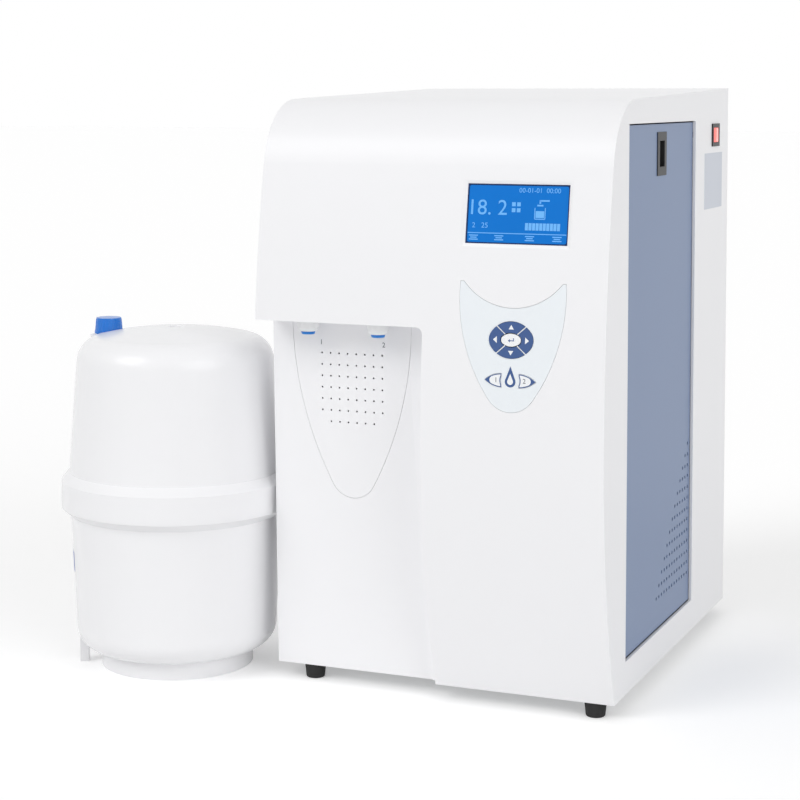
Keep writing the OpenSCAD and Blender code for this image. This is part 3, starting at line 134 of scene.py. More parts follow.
@dataclass(frozen=True)
class Finish:
    """One real material with its surface.

    Attributes:
        name: Name of the material and how it is finished.
        colour: sRGB hex of the body colour.
        roughness: Microfacet roughness.
        grain: How the surface was made.
        grain_mm: Distance between the grain's bumps.
        depth_mm: Height of the bumps.
        metallic: 1 for bare metal.
        ior: Refractive index, left alone on metal.
        coat: Weight of a clear coat.
        glow: Strength of light given off, in the body colour.
        transmission: How far the material is clear.
        mottle: How far the body colour wanders, from 0 to 1.
        subsurface: Weight of the light that passes under the skin.
    """

    name: str
    colour: str
    roughness: float
    grain: Grain = Grain.SMOOTH
    grain_mm: float = 1.0
    depth_mm: float = 0.01
    metallic: float = 0.0
    ior: float = 1.5
    coat: float = 0.0
    glow: float = 0.0
    transmission: float = 0.0
    mottle: float = 0.0
    subsurface: float = 0.0

    def material(self) -> bpy.types.Material:
        """Makes the Blender material, or finds it where an earlier piece has it.

        Returns:
            The material.
        """
        known = bpy.data.materials.get(self.name)
        if known:
            return known
        material = bpy.data.materials.new(self.name)
        material.use_nodes = True
        tree = material.node_tree
        shader = tree.nodes["Principled BSDF"]
        values = {"Base Color": linear(self.colour), "Roughness": self.roughness,
                  "Metallic": self.metallic, "Coat Weight": self.coat,
                  "Transmission Weight": self.transmission,
                  "Subsurface Weight": self.subsurface,
                  "Subsurface Radius": (SKIN_M, SKIN_M, SKIN_M), "Subsurface Scale": 1.0}
        if not self.metallic:
            values["IOR"] = self.ior
        if self.glow:
            values |= {"Emission Color": linear(self.colour), "Emission Strength": self.glow}
        for socket, value in values.items():
            shader.inputs[socket].default_value = value
        place = add_node(tree, "ShaderNodeTexCoord")
        if self.mottle:
            self._mottle(tree, shader, place)
        if self.grain is not Grain.SMOOTH:
            self._relief(tree, shader, place)
        return material

    def _mottle(self, tree: bpy.types.NodeTree, shader: bpy.types.Node,
                place: bpy.types.Node) -> None:
        """Lets the body colour wander a little over some centimetres, as real skins do.

        Args:
            tree: The material's node tree.
            shader: Its main shader.
            place: Its coordinates.
        """
        clouds = add_node(tree, "ShaderNodeTexNoise",
                          {"Vector": place.outputs["Object"], "Scale": MOTTLE_PER_M,
                           "Detail": 3.0})
        r, g, b, _ = linear(self.colour)
        dark = (r * (1 - self.mottle), g * (1 - self.mottle), b * (1 - self.mottle), 1.0)
        mix = add_node(tree, "ShaderNodeMix", {0: clouds.outputs["Fac"], 6: dark,
                                               7: (r, g, b, 1.0)}, data_type="RGBA")
        tree.links.new(mix.outputs[2], shader.inputs["Base Color"])

    def _relief(self, tree: bpy.types.NodeTree, shader: bpy.types.Node,
                place: bpy.types.Node) -> None:
        """Adds the grain's bumps.

        Args:
            tree: The material's node tree.
            shader: Its main shader.
            place: Its coordinates.
        """
        scale = 1.0 / (self.grain_mm * MM)
        stretch = BRUSHED_STRETCH if self.grain is Grain.BRUSHED else (1.0, 1.0, 1.0)
        laid = add_node(tree, "ShaderNodeMapping",
                        {"Vector": place.outputs["Object"], "Scale": stretch})
        detail = {Grain.MOULDED: 2.0, Grain.POWDER: 0.0, Grain.BRUSHED: 1.0}[self.grain]
        noise = add_node(tree, "ShaderNodeTexNoise",
                         {"Vector": laid.outputs["Vector"], "Scale": scale, "Detail": detail})
        bump = add_node(tree, "ShaderNodeBump",
                        {"Height": noise.outputs["Fac"], "Distance": self.depth_mm * MM,
                         "Strength": 1.0})
        tree.links.new(bump.outputs["Normal"], shader.inputs["Normal"])


# ABS casing, moulded against a finely etched tool: an even satin that spreads highlights.
CASING_ABS = Finish("abs_white_etched", "#F7F7F9", 0.42, Grain.MOULDED, 0.9, 0.004, coat=0.05)
# The liner's ABS has the same etch; the head's shade greys it.
LINER_ABS = Finish("abs_liner_etched", "#F9F9FB", 0.45, Grain.MOULDED, 0.9, 0.004)
# Polypropylene of the outlets, as moulded: whiter and a little waxy.
OUTLET_PP = Finish("polypropylene_white", "#F6F7F8", 0.35, Grain.MOULDED, 1.2, 0.004, ior=1.49,
                   subsurface=0.1)
# Steel sheet under powder coat: faint orange peel under a satin skin.
DOOR_COAT = Finish("powder_coat_blue_grey", "#7286A9", 0.42, Grain.POWDER, 1.6, 0.008, coat=0.1)
# Screen-printed polyester overlay on the keypad: satin, with a fine velvet grain.
OVERLAY = Finish("polyester_overlay", "#F1F6FA", 0.32, Grain.MOULDED, 0.5, 0.002, ior=1.57)
# Inks printed behind the overlay: even colour under the same satin.
OVERLAY_BLUE = Finish("overlay_print_blue", "#34568F", 0.34, Grain.MOULDED, 0.5, 0.002, ior=1.57)
OVERLAY_WHITE = Finish("overlay_print_white", "#F7F9FB", 0.34, Grain.MOULDED, 0.5, 0.002,
                       ior=1.57)
# Pad-printing ink: thin and matte, a little uneven where it lies on the etch.
PRINT_GREY = Finish("pad_print_grey", "#5A5F66", 0.5, mottle=0.1)
# Backlit liquid crystal panel: uneven blue light through an anti-reflective film.
PANEL_BLUE = Finish("display_backlight_blue", "#0672CC", 0.2, ior=1.25, glow=0.15, mottle=0.1)
# The panel's lit dots and its printed mask, under the same film.
PANEL_DOTS = Finish("display_dots_pale", "#6BAEEA", 0.3, ior=1.25, glow=0.2)
PANEL_EDGE = Finish("display_mask_navy", "#153466", 0.3, ior=1.25)
# Acetal collets, moulded: hard and evenly satin.
COLLET_POM = Finish("acetal_blue", "#1F7FD6", 0.3, Grain.MOULDED, 0.8, 0.003, ior=1.48)
# Polyethylene cap, moulded: saturated, with a soft gloss on its ribs.
CAP_PE = Finish("polyethylene_blue", "#0A74D4", 0.22, Grain.MOULDED, 1.5, 0.004, ior=1.51,
                subsurface=0.05)
# Natural rubber: matte with a fine bloom.
RUBBER = Finish("rubber_black", "#141415", 0.75, Grain.MOULDED, 1.2, 0.02, ior=1.52)
# Glass-filled polyamide, moulded: dark, with a dry sheen.
BLACK_PA = Finish("polyamide_black", "#17181A", 0.45, Grain.MOULDED, 0.8, 0.006, ior=1.53)
GREY_PA = Finish("polyamide_grey", "#55585D", 0.45, Grain.MOULDED, 0.8, 0.006, ior=1.53)
# Polycarbonate rocker with a lamp behind it: polished, washed out to pink by its own light.
ROCKER_PC = Finish("polycarbonate_red_lit", "#EC7A73", 0.18, ior=1.585, glow=0.8, mottle=0.1)
# Zinc-plated sheet steel: pale, with rolling lines along its length.
ZINC = Finish("steel_zinc_plated", "#C6C8CA", 0.38, Grain.BRUSHED, 0.5, 0.004, metallic=1.0,
              mottle=0.12)
# Drawn stainless tube: brighter, with fine lines along its length.
STAINLESS = Finish("stainless_drawn", "#C9C8C6", 0.25, Grain.BRUSHED, 0.4, 0.004, metallic=1.0)
# Plated screw heads and turned brass: small bright parts with tool lines.
SCREW_STEEL = Finish("steel_screw_plated", "#B9BCBF", 0.3, Grain.BRUSHED, 0.3, 0.003,
                     metallic=1.0)
BRASS = Finish("brass_turned", "#C9A45A", 0.28, Grain.BRUSHED, 0.3, 0.003, metallic=1.0)
# Glass-filled polypropylene of the tank: white, glossy, with a shallow moulding wave.
TANK_PP = Finish("polypropylene_tank_white", "#F8F8FA", 0.27, Grain.POWDER, 9.0, 0.03,
                 ior=1.49, subsurface=0.08)
# Filter housings, moulded: slightly greyer and flatter than the tank.
FILTER_PP = Finish("polypropylene_filter", "#EDEFF0", 0.4, Grain.MOULDED, 0.9, 0.006, ior=1.49)
# Butyl sheet: black and matte.
BUTYL = Finish("butyl_sheet_black", "#1B1C1E", 0.7, Grain.MOULDED, 1.0, 0.01, ior=1.52)
# Extruded polyethylene tube: milky, with die lines.
TUBE_PE = Finish("polyethylene_tube_white", "#E4EAEE", 0.4, Grain.BRUSHED, 0.4, 0.002, ior=1.51,
                 subsurface=0.2)
# Fused quartz of the lamp's tube: clear and polished.
QUARTZ = Finish("quartz_clear", "#EEF6FF", 0.05, ior=1.46, transmission=0.85)
# Solder mask over glass cloth: glossy green with a faint weave.
BOARD_GREEN = Finish("solder_mask_green", "#1F6B3C", 0.35, Grain.MOULDED, 0.6, 0.003, mottle=0.1)
# Moulded cover of a valve's coil.
COIL_BLUE = Finish("coil_cover_blue", "#2C4FA3", 0.4, Grain.MOULDED, 0.8, 0.006)
# Bare stickers: a silver-grey polyester film and a printed vinyl film.
LABEL_SILVER = Finish("label_polyester_silver", "#D3D8E2", 0.45, ior=1.57, mottle=0.04)
LABEL_BLUE = Finish("label_vinyl_blue", "#6A7DBB", 0.4, ior=1.54, mottle=0.06)


def row(x: float, y: float, z: float) -> Vector:
    """Returns a point of the cabinet's own coordinates, in mm, as a place in metres."""
    return Vector(((x + CABINET_X) * MM, (y + CABINET_Y) * MM, z * MM))


def into_row(mesh: Mesh, x: float = 0.0, y: float = 0.0) -> None:
    """Takes a bmesh from millimetres into the row frame.

    Args:
        mesh: The bmesh, in the cabinet's coordinates or round a place in them.
        x: Where its origin goes across the cabinet.
        y: Where its origin goes behind the front.
    """
    bmesh.ops.scale(mesh, vec=(MM, MM, MM), verts=mesh.verts)
    bmesh.ops.translate(mesh, vec=row(x, y, 0), verts=mesh.verts)


def finish_piece(name: str, mesh: Mesh, look: Finish, body: str,
                 smooth: bool = False) -> bpy.types.Object:
    """Turns a bmesh into a finished piece that rides on a body.

    Args:
        name: Name of the piece.
        mesh: Its shape, already in the row frame; it is freed here.
        look: Its finish.
        body: The CAD body it moves with.
        smooth: Whether its faces are shaded as one curve.

    Returns:
        The new object.
    """
    bmesh.ops.recalc_face_normals(mesh, faces=mesh.faces)
    for face in mesh.faces:
        face.smooth = smooth
    data = bpy.data.meshes.new(name)
    mesh.to_mesh(data)
    mesh.free()
    data.materials.append(look.material())
    piece = bpy.data.objects.new(name, data)
    bpy.context.scene.collection.objects.link(piece)
    if smooth:
        split = piece.modifiers.new("crease", "EDGE_SPLIT")
        split.split_angle = math.radians(PIECE_CREASE_DEG)
    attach(piece, body)
    LOG.info("piece %s on %s", name, body)
    return piece


def add_box(mesh: Mesh, low: Vector, high: Vector) -> None:
    """Adds a box between two corners.

    Args:
        mesh: The bmesh that takes it.
        low: Its lowest corner.
        high: Its highest corner.
    """
    made = bmesh.ops.create_cube(mesh, size=1.0)["verts"]
    bmesh.ops.scale(mesh, vec=high - low, verts=made)
    bmesh.ops.translate(mesh, vec=(low + high) / 2, verts=made)


@dataclass(frozen=True)
class Arc:
    """Part of a circle in an outline, in mm, with angles in degrees from +X."""

    x: float
    z: float
    radius: float
    start: float
    end: float

    def trace(self, mesh: Mesh, steps: int) -> list[bmesh.types.BMVert]:
        """Spins a vertex along the arc.

        Args:
            mesh: The bmesh that takes the arc's edges.
            steps: Edges of the arc.

        Returns:
            The arc's vertices in order.
        """
        first = math.radians(self.start)
        at = (self.x + self.radius * math.cos(first), 0.0,
              self.z + self.radius * math.sin(first))
        seed = bmesh.ops.create_vert(mesh, co=at)["vert"][0]
        before = set(mesh.verts) - {seed}
        bmesh.ops.spin(mesh, geom=[seed], axis=(0, -1, 0), cent=(self.x, 0.0, self.z),
                       angle=math.radians(self.end - self.start), steps=steps, use_merge=False)
        return [v for v in mesh.verts if v not in before]


Outline = list[Arc | Pair]


def _loop(mesh: Mesh, parts: Outline, steps: int) -> None:
    """Adds one closed outline to a bmesh.

    Args:
        mesh: The bmesh that takes the outline's edges.
        parts: Arcs and corner points in order round the outline, in mm.
        steps: Edges of each arc.
    """
    trail: list[bmesh.types.BMVert] = []
    for part in parts:
        if isinstance(part, Arc):
            trail += part.trace(mesh, steps)
        else:
            trail += bmesh.ops.create_vert(mesh, co=(part[0], 0.0, part[1]))["vert"]
    for one, two in zip(trail, trail[1:] + trail[:1]):
        if not any(two in e.verts for e in one.link_edges):
            bmesh.ops.contextual_create(mesh, geom=[one, two])


def outline_mesh(outer: Outline, thick: float, hole: Outline | None = None,
                 steps: int = 16) -> Mesh:
    """Fills an outline in the X-Z plane and gives it a thickness towards the front.

    Args:
        outer: Arcs and corner points in order round the outline, in mm.
        thick: Thickness in mm.
        hole: Outline of a hole in it.
        steps: Edges of each arc.

    Returns:
        The plate as a bmesh, in mm, with its back in the plane y = 0.
    """
    mesh = bmesh.new()
    _loop(mesh, outer, steps)
    if hole:
        _loop(mesh, hole, steps)
    bmesh.ops.remove_doubles(mesh, verts=mesh.verts, dist=MEET_MM)
    bmesh.ops.triangle_fill(mesh, edges=mesh.edges[:], use_beauty=True, normal=(0.0, -1.0, 0.0))
    _thicken(mesh, thick)
    return mesh


def _thicken(mesh: Mesh, thick: float) -> None:
    """Extrudes flat faces towards -Y.

    Args:
        mesh: A bmesh whose faces lie in the plane y = 0.
        thick: How far the copy stands in front of them.
    """
    made = bmesh.ops.extrude_face_region(mesh, geom=mesh.faces[:], use_keep_orig=True)
    front = [g for g in made["geom"] if isinstance(g, bmesh.types.BMVert)]
    bmesh.ops.translate(mesh, vec=(0.0, -thick, 0.0), verts=front)


def _frame(half_w: float, half_h: float, radius: float) -> Outline:
    """Makes a rectangle with rounded corners.

    Args:
        half_w: Half its width in mm.
        half_h: Half its height.
        radius: Radius of its corners.

    Returns:
        Its outline.
    """
    x, z = half_w - radius, half_h - radius
    return [Arc(x, z, radius, 90, 0), Arc(x, -z, radius, 0, -90),
            Arc(-x, -z, radius, -90, -180), Arc(-x, z, radius, 180, 90)]


@dataclass
class FrontCurve:
    """The cabinet's front as two arcs, seen from the side.

    Attributes:
        nose_z: Height of the most forward point.
        upper: Radius above it.
        lower: Radius below it.
    """

    nose_z: float = 260.0
    upper: float = 1400.0
    lower: float = 760.0

    def depth(self, z: float) -> float:
        """Returns how far the front lies behind its most forward point at a height, in mm."""
        radius = self.upper if z >= self.nose_z else self.lower
        return radius - math.sqrt(radius ** 2 - (z - self.nose_z) ** 2)

    def lay(self, mesh: Mesh, x: float, z: float, proud: float) -> None:
        """Bends a flat plate onto the front and takes it into the row frame.

        Args:
            mesh: The plate, in mm round its own origin.
            x: Where its origin goes across the cabinet.
            z: Where its origin goes above the bench.
            proud: How far its back stands in front of the surface.
        """
        bmesh.ops.translate(mesh, vec=(x, -proud, z), verts=mesh.verts)
        for vert in mesh.verts:
            vert.co.y += self.depth(vert.co.z)
        into_row(mesh)


def text_mesh(words: str, height: float, thick: float) -> Mesh:
    """Makes generic digits as a plate in the X-Z plane, centred on the origin.

    Args:
        words: Digits and marks.
        height: Height of a digit in mm.
        thick: Thickness in mm.

    Returns:
        The digits as a bmesh, in mm.
    """
    curve = bpy.data.curves.new("digits", "FONT")
    curve.body = words
    curve.size = height * TYPE_SIZE
    curve.align_x = "CENTER"
    curve.align_y = "CENTER"
    curve.resolution_u = 4
    holder = bpy.data.objects.new("digits", curve)
    bpy.context.scene.collection.objects.link(holder)
    bpy.context.view_layer.update()
    flat = bpy.data.meshes.new_from_object(holder)
    bpy.data.objects.remove(holder)
    bpy.data.curves.remove(curve)
    mesh = bmesh.new()
    mesh.from_mesh(flat)
    bpy.data.meshes.remove(flat)
    bmesh.ops.remove_doubles(mesh, verts=mesh.verts, dist=MEET_MM)
    bmesh.ops.rotate(mesh, cent=(0, 0, 0), matrix=Matrix.Rotation(math.radians(90), 3, "X"),
                     verts=mesh.verts)
    _thicken(mesh, thick)
    return mesh


def dress(nodes: Nodes, name: str, look: Finish,
          bevel: float = 0.0, rim: float = 0.0) -> None:
    """Gives a CAD node its finish, soft edges and smooth curves, and leaves its shape alone.

    Args:
        nodes: All CAD nodes by name.
        name: The node.
        look: Its finish.
        bevel: Width of its softened edges in mm.
        rim: Width of the rounding on the edges that carry a bevel weight, in mm.
    """
    piece = nodes[name]
    piece.data.materials.clear()
    piece.data.materials.append(look.material())
    piece.data.shade_smooth()
    weld = piece.modifiers.new("weld", "WELD")
    weld.merge_threshold = WELD_MM * MM
    if bevel:
        flat = piece.modifiers.new("planar", "DECIMATE")
        flat.decimate_type = "DISSOLVE"
        flat.angle_limit = math.radians(PLANAR_DEG)
    if rim:
        _round(piece, "rim", rim, "WEIGHT", RIM_STEPS)
    if bevel:
        _round(piece, "soft", bevel, "ANGLE", SOFT_STEPS)
    split = piece.modifiers.new("crease", "EDGE_SPLIT")
    split.split_angle = math.radians(CREASE_DEG)
    if bevel:
        even = piece.modifiers.new("even", "WEIGHTED_NORMAL")
        even.keep_sharp = True
    LOG.info("dressed %s in %s", name, look.name)


def dress_all(nodes: Nodes, *table: tuple[str, Finish, float]) -> None:
    """Dresses CAD nodes from a table.

    Args:
        nodes: All CAD nodes by name.
        *table: Names with spaces between them, their finish and the width of their bevel.
    """
    for names, look, bevel in table:
        for name in names.split():
            dress(nodes, name, look, bevel)


def _round(piece: bpy.types.Object, name: str, width: float, limit: str, steps: int) -> None:
    """Adds a live rounding of edges to a piece.

    Args:
        piece: The piece.
        name: Name of the modifier.
        width: Width in mm.
        limit: Which edges are rounded, by ANGLE or by WEIGHT.
        steps: Faces across the rounding.
    """
    soft = piece.modifiers.new(name, "BEVEL")
    soft.width = width * MM
    soft.segments = steps
    soft.limit_method = limit
    soft.angle_limit = math.radians(CREASE_DEG)
    soft.use_clamp_overlap = True
    soft.miter_outer = "MITER_ARC"


@dataclass
class Cabinet:
    """Casing, liner, insert, outlets, feet, base and rear panel.

    Attributes:
        nodes: All CAD nodes by name.
        front: Shape of the front.
        width: Width of the cabinet in mm.
        rim: Rounding of its long edges.
        outlets: Places of the outlets' numbers across the cabinet.
        number_height: Height of those numbers.
        number_drop: Their drop below the bay's head.
        side_openings: Depths and heights of the door's and the switch's openings, with a
            margin.
        bay: Width and height of the bay.
        bay_cove: Reach of the cove at the bay's right edge.
        liner_y: Depth of the liner's face at the bay's head.
        liner_lean: Its lean in degrees.
        wedge_x: Outer and inner face of the strip in the left wall.
        wedge_head: Front and back of the strip at the bay's head.
        wedge_foot: Its front at its lower end, and that end's height.
    """

    nodes: Nodes
    front: FrontCurve
    width: float = 360.0
    rim: float = 4.0
    outlets: Pair = (53.0, 120.5)
    number_height: float = 5.0
    number_drop: float = 24.5
    side_openings: tuple[Box, ...] = (
        (76.0, 333.0, 46.0, 566.0), (403.0, 435.0, 530.5, 566.5))
    bay: Pair = (178.0, 371.0)
    bay_cove: float = 8.0
    liner_y: float = 45.47
    liner_lean: float = 1.53
    wedge_x: Pair = (0.02, 2.9)
    wedge_head: Pair = (48.75, 58.2)
    wedge_foot: Pair = (57.85, 30.0)

    def dress(self) -> None:
        """Dresses the cabinet's CAD nodes."""
        self._weigh_rim(self.nodes["casing"])
        dress(self.nodes, "casing", CASING_ABS, bevel=0.5, rim=self.rim)
        dress_all(self.nodes, ("bay_liner", LINER_ABS, 0.8), ("splash_insert", LINER_ABS, 0.3),
                  ("outlet_left outlet_right", OUTLET_PP, 0.4),
                  ("outlet_collets", COLLET_POM, 0.3), ("base_plate", ZINC, 0.0),
                  ("rear_panel", CASING_ABS, 0.4), ("feet", RUBBER, 0.5))

    def _weigh_rim(self, casing: bpy.types.Object) -> None:
        """Marks the casing's long side edges and the bay's rim for their wide rounding.

        Args:
            casing: The casing's node.
        """
        places = [(v.co / MM) - Vector((CABINET_X, CABINET_Y, 0.0))
                  for v in casing.data.vertices]
        on_side = [self._on_side(p) for p in places]
        on_rim = [self._on_bay_rim(p) for p in places]
        weights = [float((on_side[a] and on_side[b] and on_side[a] == on_side[b])
                         or (on_rim[a] and on_rim[b]))
                   for a, b in (edge.vertices for edge in casing.data.edges)]
        layer = casing.data.attributes.new("bevel_weight_edge", "FLOAT", "EDGE")
        layer.data.foreach_set("value", weights)

    def _on_side(self, place: Vector) -> int:
        """Tells which outer side a corner of the casing lies on.

        Args:
            place: The corner in the cabinet's coordinates, in mm.

        Returns:
            1 for the left side, 2 for the right side, 0 for neither or for an opening's edge.
        """
        if abs(place.x) < ON_FACE_MM:
            return 1
        on_right = abs(place.x - self.width) < ON_FACE_MM
        opened = any(y0 < place.y < y1 and z0 < place.z < z1
                     for y0, y1, z0, z1 in self.side_openings)
        return 2 if on_right and not opened else 0

    def _on_bay_rim(self, place: Vector) -> bool:
        """Tells whether a corner of the casing lies on the bay's rim in the front.

        Args:
            place: The corner in the cabinet's coordinates, in mm.

        Returns:
            Whether it does.
        """
        wide, high = self.bay
        near = abs(place.y - self.front.depth(place.z)) < ON_FRONT_MM
        across = place.x < wide + ON_EDGE_MM and place.z < high + ON_EDGE_MM
        return near and across and (place.x > wide - self.bay_cove
                                    or place.z > high - ON_EDGE_MM)

    def close_side(self) -> None:
        """Closes the wedge between the leaning liner and the casing's left wall."""
        head = self.bay[1]
        front, back = self.wedge_head
        front_low, low = self.wedge_foot
        mesh = bmesh.new()
        section = [bmesh.ops.create_vert(mesh, co=(self.wedge_x[0], y, z))["vert"][0]
                   for y, z in ((front, head), (back, head), (back, low), (front_low, low))]
        face = bmesh.ops.contextual_create(mesh, geom=section)["faces"]
        made = bmesh.ops.extrude_face_region(mesh, geom=face, use_keep_orig=True)
        moved = [g for g in made["geom"] if isinstance(g, bmesh.types.BMVert)]
        bmesh.ops.translate(mesh, vec=(self.wedge_x[1] - self.wedge_x[0], 0.0, 0.0), verts=moved)
        into_row(mesh)
        finish_piece("casing_side_strip", mesh, CASING_ABS, "cabinet")

    def number_outlets(self) -> None:
        """Prints a plain number beside each outlet, as the bay's labels do."""
        drop = self.number_drop
        depth = self.liner_y + drop * math.tan(math.radians(self.liner_lean))
        for number, x in zip("12", self.outlets):
            mesh = text_mesh(number, self.number_height, INK_MM)
            bmesh.ops.translate(mesh, vec=(x, depth, self.bay[1] - drop), verts=mesh.verts)
            into_row(mesh)
            finish_piece(f"outlet_number_{number}", mesh, PRINT_GREY, "cabinet")


@dataclass
class Display:
    """Display window with its readout.

    Attributes:
        nodes: All CAD nodes by name.
        front: Shape of the front.
        centre: Middle of the window in mm across and up.
        width: Width of the window.
        height: Height of the window.
        depth: How far the window's face lies under the front.
        rim: Width of the dark rim printed round it.
        lap: How far that rim runs past the window.
        corners: Outer and inner radius of its corners.
        writing: Name, digits, digit height and place of each piece of writing.
        marks: Left, lower, right and upper edge of the line over the menu, the four blocks
            beside the reading, and the bottle under its tap.
        menu_x: Middle of each of the menu's signs.
        menu_lines: Lower edge and half the length of each line of a sign, 1 mm thick.
        bars: Number of bars, left edge of the first, their pitch and their width.
        bars_z: Lower and upper edge of the bars.
    """

    nodes: Nodes
    front: FrontCurve
    centre: Pair = (268.0, 481.0)
    width: float = 101.5
    height: float = 57.0
    depth: float = 3.5
    rim: float = 1.7
    lap: float = 0.3
    corners: Pair = (0.3, 2.0)
    writing: tuple[tuple[str, str, float, float, float], ...] = (
        ("display_reading", "18. 2", 14.6, -30.5, 5.4),
        ("display_clock", "00-01-01  00:00", 4.6, 21.0, 22.6),
        ("display_channel", "2   25", 5.0, -37.0, -11.2))
    marks: tuple[Box, ...] = (
        (-49.0, -18.7, 49.0, -17.9), (-6.0, 7.6, -2.4, 11.4), (-1.0, 7.6, 2.6, 11.4),
        (-6.0, 2.0, -2.4, 5.8), (-1.0, 2.0, 2.6, 5.8), (16.5, -4.5, 27.5, -3.6),
        (16.5, -4.5, 17.3, 6.5), (26.7, -4.5, 27.5, 6.5), (17.8, -2.9, 26.2, 3.5),
        (19.0, 8.0, 25.0, 9.5), (21.0, 12.5, 31.0, 14.0), (21.0, 10.5, 22.6, 14.0))
    menu_x: tuple[float, ...] = (-43.0, -17.5, 13.0, 40.0)
    menu_lines: tuple[Pair, ...] = ((-25.0, 4.5), (-23.1, 3.2), (-21.2, 4.5))
    bars: tuple[int, float, float, float] = (10, 8.0, 3.5, 2.9)
    bars_z: Pair = (-14.8, -8.0)

    def dress(self) -> None:
        """Dresses the window and the module behind it."""
        dress_all(self.nodes, ("display_window", PANEL_BLUE, 0.0),
                  ("display_module", BOARD_GREEN, 0.0))

    def _place(self, mesh: Mesh) -> None:
        """Takes a flat drawing, in mm round the window's middle, onto the window.

        Args:
            mesh: The drawing.
        """
        x, z = self.centre
        tilt = -math.asin((z - self.front.nose_z) / self.front.upper)
        place = (Matrix.Translation((x, self.front.depth(z), z))
                 @ Matrix.Rotation(tilt, 4, "X")
                 @ Matrix.Translation((0, self.depth - 0.02, 0)))
        bmesh.ops.transform(mesh, matrix=place, verts=mesh.verts)
        into_row(mesh)

    def draw(self) -> None:
        """Draws the reading, the clock, the vessel and the bars as pale dots."""
        for name, words, height, x, z in self.writing:
            mesh = text_mesh(words, height, DOT_MM)
            bmesh.ops.translate(mesh, vec=(x, 0, z), verts=mesh.verts)
            self._place(mesh)
            finish_piece(name, mesh, PANEL_DOTS, "cabinet")
        count, start, pitch, width = self.bars
        boxes = list(self.marks)
        boxes += [(middle - half, low, middle + half, low + 1.0)
                  for middle in self.menu_x for low, half in self.menu_lines]
        boxes += [(start + i * pitch, self.bars_z[0], start + i * pitch + width, self.bars_z[1])
                  for i in range(count)]
        marks = bmesh.new()
        for left, low, right, high in boxes:
            add_box(marks, Vector((left, -DOT_MM, low)), Vector((right, 0.0, high)))
        self._place(marks)
        finish_piece("display_marks", marks, PANEL_DOTS, "cabinet")
        half_w, half_h = self.width / 2 + self.lap, self.height / 2 + self.lap
        outer, inner = self.corners
        mask = outline_mesh(_frame(half_w, half_h, outer), DOT_MM,
                            _frame(half_w - self.rim, half_h - self.rim, inner), steps=4)
        self._place(mask)
        finish_piece("display_mask", mask, PANEL_EDGE, "cabinet")


